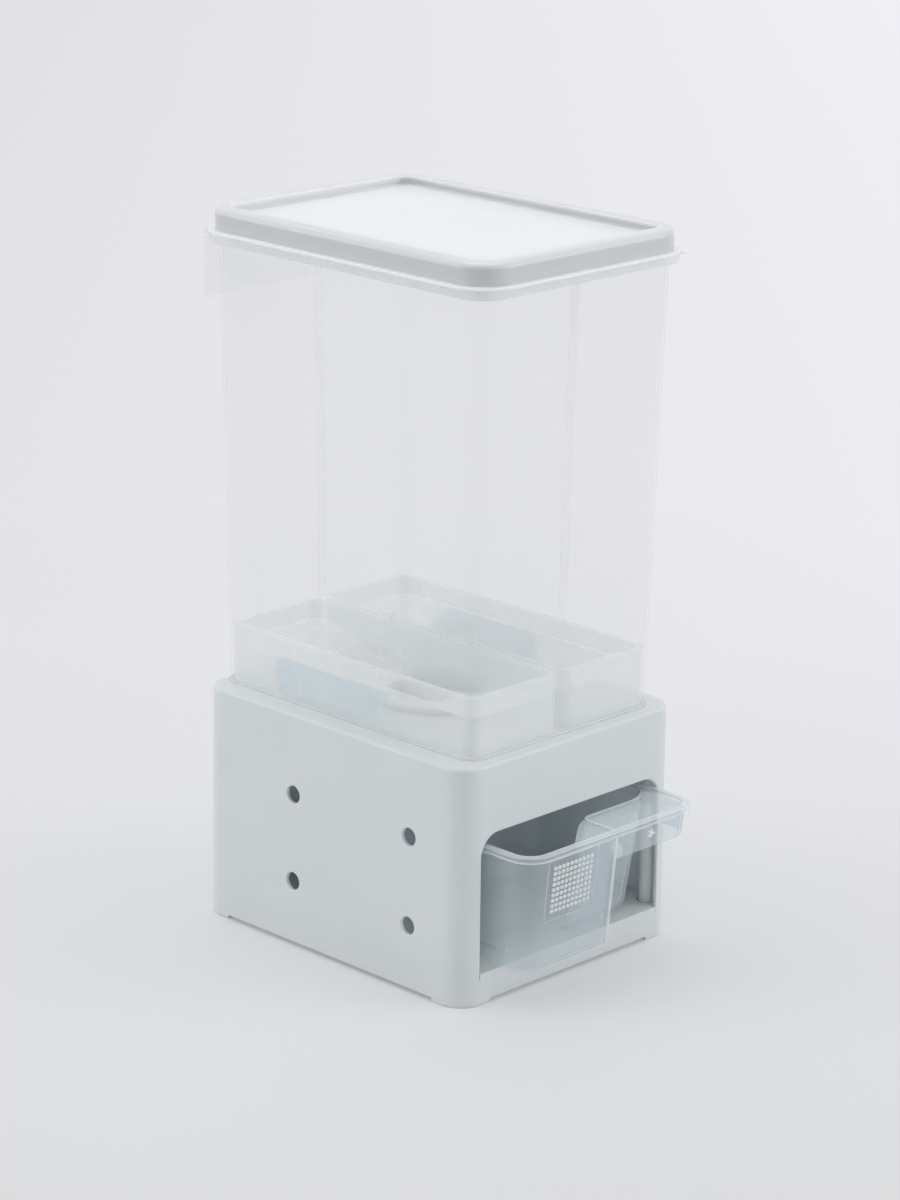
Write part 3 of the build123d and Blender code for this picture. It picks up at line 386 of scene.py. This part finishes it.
@dataclass(frozen=True)
class Finish:
    """What every moulded finish has.

    The bands are level stripes, as pairs of heights in metres, in which the plastic is painted paler or
    darker; those in use are painted highlight lines along rims and feet.
    """

    name: str
    colour: Colour
    roughness: float
    grain: float = 900.0
    fine: float = 0.5
    waves: float = 0.5
    bump: float = 0.00006
    scratches: float = 0.5
    smudges: float = 0.5
    dust: float = 0.3
    wear: float = 0.3
    specular: float = 0.5
    soak: float = 0.0
    soak_depth: float = 0.004
    # level bands painted paler as highlight lines, their colour and how much of it is mixed in
    highlight_bands: tuple[tuple[float, float], ...] = ()
    highlight_colour: Colour = (1.0, 1.0, 1.0)
    highlight_share: float = 0.6
    mottle: float = 0.975

    def make(self) -> bpy.types.Material:
        """Builds the material the first time it is asked for.

        Returns:
            The material.
        """
        found = bpy.data.materials.get(self.name)
        if found:
            return found
        material = bpy.data.materials.new(self.name)
        material.use_nodes = True
        material.node_tree.nodes.clear()
        work = Tree(material.node_tree)
        shader = work.add("ShaderNodeBsdfPrincipled")
        out = work.add("ShaderNodeOutputMaterial")
        work.join(shader.outputs[0], out.inputs["Surface"])
        shader.inputs["Specular IOR Level"].default_value = self.specular
        grain = MouldGrain().place(work, grain=self.grain, fine=self.fine, waves=self.waves)
        marks = Handling().place(work, scratches=self.scratches, smudges=self.smudges)
        dust = SettledDust().place(work, amount=self.dust)
        wear = EdgeWear().place(work, amount=self.wear)
        self.paint(work, shader, grain, marks, dust, wear)
        bump = work.add("ShaderNodeBump", {"Strength": 1.0, "Distance": self.bump})
        cut = work.math("MULTIPLY", marks.outputs["Lines"], 0.5)
        height = work.math("SUBTRACT", grain.outputs["Height"], cut)
        work.join(height, bump.inputs["Height"])
        work.join(bump.outputs["Normal"], shader.inputs["Normal"])
        self.settle(shader)
        material.diffuse_color = (*self.colour, 1.0)
        return material

    def paint(self, work: Tree, shader: bpy.types.Node, grain: bpy.types.Node, marks: bpy.types.Node,
              dust: bpy.types.Node, wear: bpy.types.Node) -> None:
        """Joins colour and roughness to the shader.

        Args:
            work: The material's tree.
            shader: The Principled shader.
            grain: The grain group's node.
            marks: The handling group's node.
            dust: The dust group's node.
            wear: The edge wear group's node.
        """
        dark = tuple(c * self.mottle for c in self.colour)
        pale = tuple(min(1.0, c * 1.08 + 0.01) for c in self.colour)
        colour = work.blend(grain.outputs["Mottle"], dark, self.colour)
        # painted highlight lines: each band mixes in its paler colour
        for low, high in self.highlight_bands:
            band = work.between_heights(low, high, self.highlight_share)
            colour = work.blend(band, colour, self.highlight_colour)
        scratched = tuple(c * SCRATCH_SHADE for c in self.colour)
        colour = work.blend(work.math("MULTIPLY", marks.outputs["Lines"], 0.5), colour, scratched)
        colour = work.blend(wear.outputs["Rubbed"], colour, pale)
        colour = work.blend(work.math("MULTIPLY", dust.outputs["Dust"], 0.5), colour, DUST_COLOUR)
        work.join(colour, shader.inputs["Base Color"])
        rough = work.math("ADD", work.math("MULTIPLY", marks.outputs["Dull"], 0.1), self.roughness)
        rough = work.math("ADD", rough, work.math("MULTIPLY", dust.outputs["Dust"], 0.25))
        rough = work.math("SUBTRACT", rough, work.math("MULTIPLY", wear.outputs["Rubbed"], 0.1))
        work.join(rough, shader.inputs["Roughness"])

    def settle(self, shader: bpy.types.Node) -> None:
        """Sets how far light soaks into the plastic."""
        shader.inputs["Subsurface Weight"].default_value = self.soak
        shader.inputs["Subsurface Scale"].default_value = self.soak_depth
        shader.inputs["Subsurface Radius"].default_value = SOAK_TINT


@dataclass(frozen=True)
class ClearFinish(Finish):
    """A thin wall of clear or milky plastic.

    It is a veil over what stands behind it, and denser where the wall is seen along its length.
    """

    veil: float = 0.1
    edge_veil: float = 0.4
    # how dense the wall is inside its bands, where the painted highlight lines show
    highlight_veil: float = 0.5
    lets_light: float = 0.9
    side_on: float = 0.6  # the facing value from which a wall counts as seen along its length

    def make(self) -> bpy.types.Material:
        """Builds the material, whose walls let the lamps' light pass on to what stands behind them.

        Returns:
            The material.
        """
        known = self.name in bpy.data.materials
        material = super().make()
        if known:
            return material
        work = Tree(material.node_tree)
        shader = next(n for n in material.node_tree.nodes if n.type == "BSDF_PRINCIPLED")
        along = work.add("ShaderNodeLayerWeight", {"Blend": 0.5})
        cloud = work.spread(work.noise(9.0, 3.0, 0.5), 0.3, 0.7, 0.9, 1.1)
        veil = work.spread(along.outputs["Facing"], self.side_on, 1.0, self.veil, self.edge_veil)
        veil = work.math("MULTIPLY", veil, cloud)
        # the bands also make the wall denser, so their painted highlight lines show
        for low, high in self.highlight_bands:
            veil = work.math("MAXIMUM", veil, work.between_heights(low, high, self.highlight_veil))
        path = work.add("ShaderNodeLightPath")
        lighting = work.math("MAXIMUM", path.outputs["Is Shadow Ray"], path.outputs["Is Diffuse Ray"])
        kept = work.spread(lighting, 0.0, 1.0, 1.0, 1.0 - self.lets_light)
        work.join(work.math("MULTIPLY", veil, kept), shader.inputs["Alpha"])
        return material


@dataclass(frozen=True)
class SteelFinish(Finish):
    """Bright zinc-plated screws."""

    def settle(self, shader: bpy.types.Node) -> None:
        """Makes the shader a metal."""
        shader.inputs["Metallic"].default_value = 1.0


WHITE_SHELL = Finish("white_shell_plastic", (0.762, 0.805, 0.818), 0.42, grain=1300, fine=0.35, waves=0.9,
                     soak=0.15, soak_depth=0.003)
WHITE_LID = Finish("white_lid_plastic", (0.80, 0.822, 0.838), 0.3, grain=1300, fine=0.2, waves=0.35,
                   bump=0.00004, smudges=0.25, dust=0.04, soak=0.9, soak_depth=0.012)
STEEL_SCREW = SteelFinish("zinc_screw", (0.62, 0.62, 0.60), 0.3, grain=2500, fine=0.8, bump=0.00002)
# the tank's bands are painted highlight lines at its top rim and at its foot
CLEAR_TANK = ClearFinish("clear_tank_plastic", (0.90, 0.93, 0.925), 0.12, grain=500, fine=0.05, waves=1.0,
                         bump=0.00005, dust=0.1, specular=1.0, mottle=0.985, veil=0.085, edge_veil=0.6,
                         highlight_bands=((0.4540, 0.4602), (0.1570, 0.1620)),
                         highlight_colour=(0.95, 0.965, 0.97), highlight_veil=0.4)
CLEAR_DIVIDER = ClearFinish("clear_divider_plastic", (0.90, 0.93, 0.94), 0.12, grain=500, fine=0.05,
                            waves=1.0, bump=0.00005, dust=0.0, specular=1.0, mottle=0.985, veil=0.05,
                            edge_veil=0.8)
MILKY_HOPPER = ClearFinish("milky_hopper_plastic", (0.91, 0.955, 0.962), 0.25, grain=700, fine=0.2,
                           waves=0.6, bump=0.0001, dust=0.0, specular=0.8, mottle=0.98, veil=0.31,
                           edge_veil=0.85, lets_light=0.85)
BLUE_INSERT = ClearFinish("blue_insert_plastic", (0.46, 0.71, 0.84), 0.3, grain=700, fine=0.2,
                          waves=0.6, bump=0.0001, dust=0.0, mottle=0.97, veil=0.3, edge_veil=0.4,
                          lets_light=0.85)
CLEAR_GUIDE = ClearFinish("clear_guide_plastic", (0.97, 0.985, 0.99), 0.08, grain=700, fine=0.05,
                          waves=0.6, bump=0.0001, dust=0.0, specular=1.0, mottle=0.99, veil=0.14,
                          edge_veil=0.95)
# the drawer's bands are a thin painted highlight line below the rim and a painted paler band along the
# rim
CLEAR_DRAWER = ClearFinish("clear_drawer_plastic", (0.68, 0.79, 0.85), 0.16, grain=600, fine=0.1,
                           waves=0.9, bump=0.00012, dust=0.05, specular=1.0, mottle=0.98, veil=0.26,
                           edge_veil=0.9, lets_light=0.8, highlight_bands=((0.1022, 0.1033), (0.1055, 0.12)),
                           highlight_colour=(0.92, 0.97, 1.0), highlight_veil=0.5, highlight_share=0.8)
# pale dense finish: on the bead a painted highlight line down the front's edge, on the gate mark the
# milky plastic
EDGE_HIGHLIGHT_AND_GATE = ClearFinish("edge_highlight_and_gate_plastic", (0.95, 0.98, 1.0), 0.12, grain=600, fine=0.1,
                          waves=0.9, bump=0.0001, dust=0.0, specular=1.0, mottle=0.98, veil=0.6,
                          edge_veil=0.85)
DOT_PANEL = ClearFinish("dot_panel_plastic", (0.93, 0.95, 0.96), 0.3, grain=700, fine=0.1,
                        waves=0.4, bump=0.0001, dust=0.0, veil=0.8, edge_veil=0.9, lets_light=0.3)

FINISHES = {
    Slot.WHITE_SHELL: WHITE_SHELL, Slot.WHITE_LID: WHITE_LID, Slot.STEEL_SCREW: STEEL_SCREW,
    Slot.CLEAR_TANK: CLEAR_TANK, Slot.CLEAR_DIVIDER: CLEAR_DIVIDER, Slot.MILKY_HOPPER: MILKY_HOPPER,
    Slot.BLUE_INSERT: BLUE_INSERT, Slot.CLEAR_GUIDE: CLEAR_GUIDE, Slot.CLEAR_DRAWER: CLEAR_DRAWER,
    Slot.DOT_PANEL: DOT_PANEL,
}


# -------------------------------------------------------------- sub-assemblies

Ring = list[bmesh.types.BMVert]
Profile = tuple[tuple[float, float], ...]  # pairs of radius share and height share, from the foot up


def skin(mesh: bmesh.types.BMesh, rings: list[Ring]) -> None:
    """Joins closed rings of equal count with faces and caps both ends.

    Args:
        mesh: The mesh that the rings are in.
        rings: The rings, from the foot up, each anticlockwise as seen from the top.
    """
    count = len(rings[0])
    for lower, upper in zip(rings, rings[1:]):
        for step in range(count):
            after = (step + 1) % count
            mesh.faces.new((lower[step], lower[after], upper[after], upper[step]))
    mesh.faces.new(rings[-1])
    mesh.faces.new(rings[0][::-1])


def turns(count: int) -> list[float]:
    """Returns equal steps of one full turn, in radians."""
    return [2 * math.pi * step / count for step in range(count)]


@dataclass
class SubAssembly:
    """A group of pieces that ride on one body."""

    body: Body

    def dress(self, node: str, slot: Slot) -> None:
        """Gives a carried-over node its finish.

        Args:
            node: The node's name.
            slot: The material slot whose finish it takes.
        """
        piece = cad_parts[node]
        piece.data.materials.clear()
        piece.data.materials.append(FINISHES[slot].make())
        log.info("%s: %s, %d faces", node, slot.value, len(piece.data.polygons))

    def add_piece(self, name: str, mesh: bmesh.types.BMesh, slot: Slot) -> bpy.types.Object:
        """Turns a mesh into a piece that rides on this sub-assembly's body.

        Args:
            name: The piece's name.
            mesh: Its mesh in metres, which is freed.
            slot: The material slot whose finish it takes.

        Returns:
            The piece.
        """
        data = bpy.data.meshes.new(name)
        mesh.to_mesh(data)
        mesh.free()
        data.polygons.foreach_set("use_smooth", [True] * len(data.polygons))
        data.materials.append(FINISHES[slot].make())
        piece = bpy.data.objects.new(name, data)
        bpy.context.scene.collection.objects.link(piece)
        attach(piece, self.body.value)
        log.info("%s: new piece, %s, %d faces", name, slot.value, len(data.polygons))
        return piece


@dataclass
class BaseUnit(SubAssembly):
    """The white base: cover, floor plate and its screws."""

    body: Body = Body.BASE

    def build(self) -> None:
        """Dresses the base."""
        self.dress("base_cover", Slot.WHITE_SHELL)
        self.dress("floor_plate", Slot.WHITE_SHELL)
        self.dress("plate_screws", Slot.STEEL_SCREW)


@dataclass
class DrawerUnit(SubAssembly):
    """The clear drawer with its dot panel and shutter plate."""

    body: Body = Body.DRAWER
    columns: int = 10
    rows: int = 9
    pitch: float = 0.0037
    dot_radius: float = 0.00135
    dot_height: float = 0.0009
    panel_width: float = 0.046
    panel_height: float = 0.042
    frame_width: float = 0.0002
    front_lean: float = 8.0 / 81.8  # how far the front leans back over the drawer's height
    edge_x: float = 0.0017
    edge_radius: float = 0.0010
    edge_heights: tuple[float, float] = (0.0312, 0.1020)
    edge_tips: tuple[float, ...] = (0.35, 0.75, 0.93, 1.0)  # radius shares from either end inwards
    edge_sides: int = 14
    edge_steps: int = 24
    foot_steps: int = 8
    foot_turn: float = 8.0  # degrees for each step round the foot
    floor_round: float = 0.0060
    gate_place: tuple[float, float] = (0.0350, 0.0955)
    gate_radius: float = 0.0025
    gate_sides: int = 36
    gate_dome: Profile = ((1.0, -0.25), (0.9, 0.12), (0.6, 0.22), (0.25, 0.3))
    dot_sides: int = 16
    dot_dome: Profile = ((1.0, -0.4), (1.0, 0.25), (0.93, 0.6), (0.75, 0.86), (0.45, 0.97))

    def build(self) -> None:
        """Dresses the drawer and adds its moulded details."""
        self.dress("drawer", Slot.CLEAR_DRAWER)
        self.dress("shutter_plate", Slot.CLEAR_DRAWER)
        self.dress("shutter_screws", Slot.STEEL_SCREW)
        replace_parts(self.add_piece("dot_panel", self.dot_mesh(), Slot.DOT_PANEL), "front_label")
        # the bead's pale finish paints the highlight line of the front's right edge
        for name, mesh in (("edge_highlight_bead", self.edge_mesh()), ("gate_mark", self.gate_mesh())):
            piece = self.add_piece(name, mesh, Slot.CLEAR_DRAWER)
            piece.data.materials[0] = EDGE_HIGHLIGHT_AND_GATE.make()

    def front_at(self, height: float) -> float:
        """Returns how far forward the drawer's leaning front stands at a height."""
        low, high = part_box("front_label")
        return high.y - self.dot_height - (height - low.z) * self.front_lean

    def edge_mesh(self) -> bmesh.types.BMesh:
        """Makes the half-sunk bead down the front wall's right edge and round its foot, whose pale finish
        is a painted highlight line.

        Returns:
            The mesh, in place on the drawer.
        """
        foot, top = self.edge_heights
        heights = [top - (top - foot) * step / self.edge_steps for step in range(self.edge_steps + 1)]
        path = [Vector((self.edge_x, self.front_at(height), height)) for height in heights]
        corner = path[-1]
        for step in range(1, self.foot_steps + 1):
            turn = math.radians(self.foot_turn * step)
            path.append(corner + Vector((0.0, 1.0 - math.cos(turn), -math.sin(turn))) * self.floor_round)
        mesh = bmesh.new()
        rings = []
        for number, place in enumerate(path):
            ahead = path[min(number + 1, len(path) - 1)] - path[max(number - 1, 0)]
            across = Vector((1.0, 0.0, 0.0))
            out = across.cross(ahead.normalized())
            from_end = min(number, len(path) - 1 - number)
            radius = self.edge_radius * self.edge_tips[min(from_end, len(self.edge_tips) - 1)]
            rings.append([mesh.verts.new(place + radius * (math.cos(a) * across + math.sin(a) * out))
                          for a in turns(self.edge_sides)])
        skin(mesh, rings)
        bmesh.ops.recalc_face_normals(mesh, faces=mesh.faces)
        return mesh

    def gate_mesh(self) -> bmesh.types.BMesh:
        """Makes the small star-shaped mark that the mould's gate left on the skirt.

        Returns:
            The mesh, in place on the skirt.
        """
        x, height = self.gate_place
        place = self.panel_place()
        place.translation = Vector((x, self.front_at(height), height))
        mesh = bmesh.new()
        rings = []
        for share, rise in self.gate_dome:
            ring = []
            for turn in turns(self.gate_sides):
                reach = 1.0 + 0.42 * share * math.cos(5 * turn) + 0.16 * share * math.cos(3 * turn + 0.8)
                radius = self.gate_radius * share * reach
                ring.append(mesh.verts.new((radius * math.cos(turn), radius * math.sin(turn),
                                            rise * self.gate_radius)))
            rings.append(ring)
        skin(mesh, rings)
        mesh.transform(place)
        return mesh

    def panel_place(self) -> Matrix:
        """Finds the panel's place on the leaning front.

        Returns:
            A frame with its origin at the panel's top left, X across and Y up the front.
        """
        low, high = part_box("front_label")
        up = Vector((0.0, -self.front_lean, 1.0)).normalized()
        across = Vector((1.0, 0.0, 0.0))
        out = across.cross(up)
        origin = Vector((low.x, low.y, high.z)) - out * self.dot_height
        place = Matrix((across, up, out)).transposed().to_4x4()
        place.translation = origin
        return place

    def dot_mesh(self) -> bmesh.types.BMesh:
        """Makes the grid of low domes and the fine raised frame round it.

        Returns:
            The mesh, in place on the drawer's front.
        """
        mesh = bmesh.new()
        left = (self.panel_width - (self.columns - 1) * self.pitch) / 2
        top = (self.panel_height - (self.rows - 1) * self.pitch) / 2
        for column in range(self.columns):
            for row in range(self.rows):
                self.add_dome(mesh, left + column * self.pitch, -top - row * self.pitch)
        wide, high, thick = self.panel_width, self.panel_height, self.frame_width
        for x0, x1, y0, y1 in ((0, wide, -thick, 0), (0, wide, -high, thick - high),
                               (0, thick, -high, 0), (wide - thick, wide, -high, 0)):
            place = Matrix.Translation(((x0 + x1) / 2, (y0 + y1) / 2, self.dot_height * 0.1))
            size = Matrix.Diagonal((x1 - x0, y1 - y0, self.dot_height * 0.3, 1.0))
            bmesh.ops.create_cube(mesh, size=1.0, matrix=place @ size)
        mesh.transform(self.panel_place())
        return mesh

    def add_dome(self, mesh: bmesh.types.BMesh, x: float, y: float) -> None:
        """Adds one dome of turned profile.

        Args:
            mesh: The mesh it goes into.
            x: Its middle across the panel.
            y: Its middle up the panel.
        """
        rings = []
        for share, height in self.dot_dome:
            ring = []
            radius = self.dot_radius * share
            for turn in turns(self.dot_sides):
                ring.append(mesh.verts.new((x + radius * math.cos(turn), y + radius * math.sin(turn),
                                            height * self.dot_height)))
            rings.append(ring)
        skin(mesh, rings)


@dataclass
class TankUnit(SubAssembly):
    """The clear tank, its divider, hoppers and outlet."""

    body: Body = Body.TANK

    def build(self) -> None:
        """Dresses the tank and what is in it."""
        self.dress("tank", Slot.CLEAR_TANK)
        self.dress("divider", Slot.CLEAR_DIVIDER)
        for side in ("left", "right"):
            self.dress(f"{side}_hopper", Slot.MILKY_HOPPER)
            self.dress(f"{side}_support", Slot.BLUE_INSERT)
            self.dress(f"{side}_flow_guide", Slot.CLEAR_GUIDE)
        self.dress("outlet_chute", Slot.WHITE_SHELL)
        self.dress("gate_frame", Slot.WHITE_SHELL)
        self.dress("chute_screws", Slot.STEEL_SCREW)


@dataclass
class GateUnit(SubAssembly):
    """One sliding gate under the outlet."""

    node: str = ""

    def build(self) -> None:
        """Dresses the gate."""
        self.dress(self.node, Slot.WHITE_LID)


@dataclass
class LidUnit(SubAssembly):
    """The white lid."""

    body: Body = Body.LID

    def build(self) -> None:
        """Dresses the lid."""
        self.dress("lid", Slot.WHITE_LID)


# --------------------------------------------------------------------- studio


@dataclass(frozen=True)
class Lamp:
    """A wide soft square lamp that looks at the object."""

    name: str
    place: Point
    size: float
    power: float
    aim: Point = (0.0, 0.0, 0.2)

    def build(self) -> None:
        """Hangs the lamp."""
        data = bpy.data.lights.new(self.name, "AREA")
        data.shape = "SQUARE"
        data.size = self.size
        data.energy = self.power
        lamp = bpy.data.objects.new(self.name, data)
        lamp.location = self.place
        way = Vector(self.aim) - Vector(self.place)
        lamp.rotation_mode = "QUATERNION"
        lamp.rotation_quaternion = way.to_track_quat("-Z", "Y")
        bpy.context.scene.collection.objects.link(lamp)


@dataclass
class Studio:
    """The floor, the light and the camera of the photograph."""

    lens: float = 111.015
    azimuth: float = -45.78
    elevation: float = 17.02
    roll: float = 0.894
    distance: float = 2.4039
    target: Point = (0.007722, 0.001066, 0.22694)
    shift: tuple[float, float] = (-0.00607, -0.0045)
    floor_colour: Colour = (0.82, 0.83, 0.845)
    backdrop: Colour = (0.80, 0.80, 0.83)
    # painted light and shade on the backdrop's glow: dimmer left, brighter right, darker towards the
    # camera
    painted_shade_left: Colour = (0.745, 0.745, 0.78)
    painted_light_right: Colour = (0.87, 0.86, 0.90)
    painted_shade_near: Colour = (0.665, 0.67, 0.68)
    ambient: float = 0.42
    floor_radius: float = 9.0
    # the glow's share rises from the third value to 1 between the first two distances; that least share
    # is painted light over the object's shadow
    fade: tuple[float, float, float] = (0.1, 1.05, 0.3)
    horizon: tuple[float, float] = (5.0, 8.8)
    rightward: Point = (0.7, -0.7, 0.0)  # the picture's right, along the floor
    nearward: Point = (-0.7, -0.7, 0.0)  # towards the camera, along the floor
    side_span: tuple[float, float] = (-0.8, 0.8)
    near_span: tuple[float, float] = (-0.6, 0.4)
    lamps: tuple[Lamp, ...] = (
        Lamp("top_lamp", (0.0, 0.2, 3.0), 2.8, 48.5),
        Lamp("left_lamp", (-2.2, 1.8, 1.0), 1.6, 16.8),
        Lamp("front_lamp", (1.8, -2.2, 1.0), 1.6, 20.5),
    )

    def build(self) -> None:
        """Makes the floor, the world, the lamps and the camera."""
        self.make_floor()
        self.make_world()
        for lamp in self.lamps:
            lamp.build()
        self.make_camera()

    def make_floor(self) -> None:
        """Lays a large pale floor that keeps the object's shadow, lightened near the object by a share of
        painted glow.
        """
        mesh = bmesh.new()
        bmesh.ops.create_circle(mesh, cap_ends=True, segments=96, radius=self.floor_radius)
        data = bpy.data.meshes.new("studio_floor")
        mesh.to_mesh(data)
        mesh.free()
        floor = bpy.data.objects.new("studio_floor", data)
        bpy.context.scene.collection.objects.link(floor)
        data.materials.append(self.paper())

    def paper(self) -> bpy.types.Material:
        """Builds the floor's paper, which fades into the backdrop away from the object. Its glow is
        painted light: dimmer to the left and towards the camera, brighter to the right, and near the
        object laid in part over its shadow.

        Returns:
            The material.
        """
        material = bpy.data.materials.new("studio_paper")
        material.use_nodes = True
        work = Tree(material.node_tree)
        shader = material.node_tree.nodes["Principled BSDF"]
        shader.inputs["Roughness"].default_value = 0.9
        shader.inputs["Specular IOR Level"].default_value = 0.1
        shade = tuple(c * 0.99 for c in self.floor_colour)
        work.join(work.blend(work.noise(3.0, 3.0), self.floor_colour, shade), shader.inputs["Base Color"])
        place = work.add("ShaderNodeTexCoord")
        reach = work.add("ShaderNodeVectorMath", operation="LENGTH")
        work.join(place.outputs["Object"], reach.inputs[0])
        side = work.spread(self.along(work, place, self.rightward), *self.side_span)
        near = work.spread(self.along(work, place, self.nearward), *self.near_span)
        # painted light and shade: the glow is dimmer to the left and towards the camera, brighter to the
        # right
        painted_tones = work.blend(side, self.painted_shade_left, self.painted_light_right)
        painted_tones = work.blend(near, painted_tones, self.painted_shade_near)
        painted_tones = work.blend(work.spread(reach.outputs["Value"], *self.horizon), painted_tones, self.backdrop)
        glow = work.add("ShaderNodeEmission", {"Strength": 1.0})
        work.join(painted_tones, glow.inputs["Color"])
        # painted light: even beside the object a share of the glow lies over its shadow
        far = work.spread(reach.outputs["Value"], *self.fade)
        mix = work.add("ShaderNodeMixShader")
        work.join(work.math("MULTIPLY", far, self.seen_rays(work)), mix.inputs[0])
        work.join(shader.outputs[0], mix.inputs[1])
        work.join(glow.outputs[0], mix.inputs[2])
        work.join(mix.outputs[0], material.node_tree.nodes["Material Output"].inputs["Surface"])
        return material

    def along(self, work: Tree, place: bpy.types.Node, way: Point) -> bpy.types.NodeSocket:
        """Measures how far a point of the floor lies along a direction.

        Args:
            work: The material's tree.
            place: The node that gives the point.
            way: The direction.

        Returns:
            The distance's output.
        """
        node = work.add("ShaderNodeVectorMath", operation="DOT_PRODUCT")
        node.inputs[1].default_value = way
        work.join(place.outputs["Object"], node.inputs[0])
        return node.outputs["Value"]

    def seen_rays(self, work: Tree) -> bpy.types.NodeSocket:
        """Finds the rays that see things, and not those that light them.

        Args:
            work: The tree it goes into.

        Returns:
            1 for rays that the camera, gloss or glass sends out, otherwise 0.
        """
        path = work.add("ShaderNodeLightPath")
        either = work.math("MAXIMUM", path.outputs["Is Camera Ray"], path.outputs["Is Glossy Ray"])
        return work.math("MAXIMUM", either, path.outputs["Is Transmission Ray"])

    def make_world(self) -> None:
        """Makes soft light from all round and a pale backdrop."""
        world = bpy.data.worlds.new("studio_world")
        bpy.context.scene.world = world
        world.use_nodes = True
        world.node_tree.nodes.clear()
        work = Tree(world.node_tree)
        light = work.add("ShaderNodeBackground", {"Color": (1, 1, 1, 1), "Strength": self.ambient})
        seen = work.add("ShaderNodeBackground", {"Color": (*self.backdrop, 1), "Strength": 1.0})
        mix = work.add("ShaderNodeMixShader")
        out = work.add("ShaderNodeOutputWorld")
        work.join(self.seen_rays(work), mix.inputs[0])
        work.join(light.outputs[0], mix.inputs[1])
        work.join(seen.outputs[0], mix.inputs[2])
        work.join(mix.outputs[0], out.inputs[0])

    def make_camera(self) -> None:
        """Stands the camera where the photograph was taken from."""
        turn, rise = math.radians(self.azimuth), math.radians(self.elevation)
        level = math.cos(rise)
        back = Vector((math.sin(turn) * level, -math.cos(turn) * level, math.sin(rise)))
        right = (-back).cross(Vector((0, 0, 1))).normalized()
        up = right.cross(-back)
        roll = math.radians(self.roll)
        right, up = (right * math.cos(roll) + up * math.sin(roll),
                     up * math.cos(roll) - right * math.sin(roll))
        data = bpy.data.cameras.new("photo_camera")
        data.lens = self.lens
        data.sensor_width = 36.0
        data.shift_x, data.shift_y = self.shift
        data.clip_start, data.clip_end = 0.05, 60.0
        camera = bpy.data.objects.new("photo_camera", data)
        place = Matrix((right, up, back)).transposed().to_4x4()
        place.translation = Vector(self.target) + back * self.distance
        camera.matrix_world = place
        bpy.context.scene.collection.objects.link(camera)
        bpy.context.scene.camera = camera


def main() -> None:
    """Builds every sub-assembly in order, then the studio."""
    logging.basicConfig(level=logging.INFO, format="%(name)s: %(message)s")
    BaseUnit().build()
    DrawerUnit().build()
    TankUnit().build()
    GateUnit(Body.LEFT_GATE, "left_gate").build()
    GateUnit(Body.RIGHT_GATE, "right_gate").build()
    LidUnit().build()
    Studio().build()
    scene = bpy.context.scene
    scene.view_settings.view_transform = "Standard"
    scene.cycles.max_bounces = scene.cycles.transmission_bounces = 24
    scene.cycles.diffuse_bounces = 6
    scene.cycles.transparent_max_bounces = 32  # enough for all the walls of tank and hoppers in one line


if __name__ == "__main__":
    main()
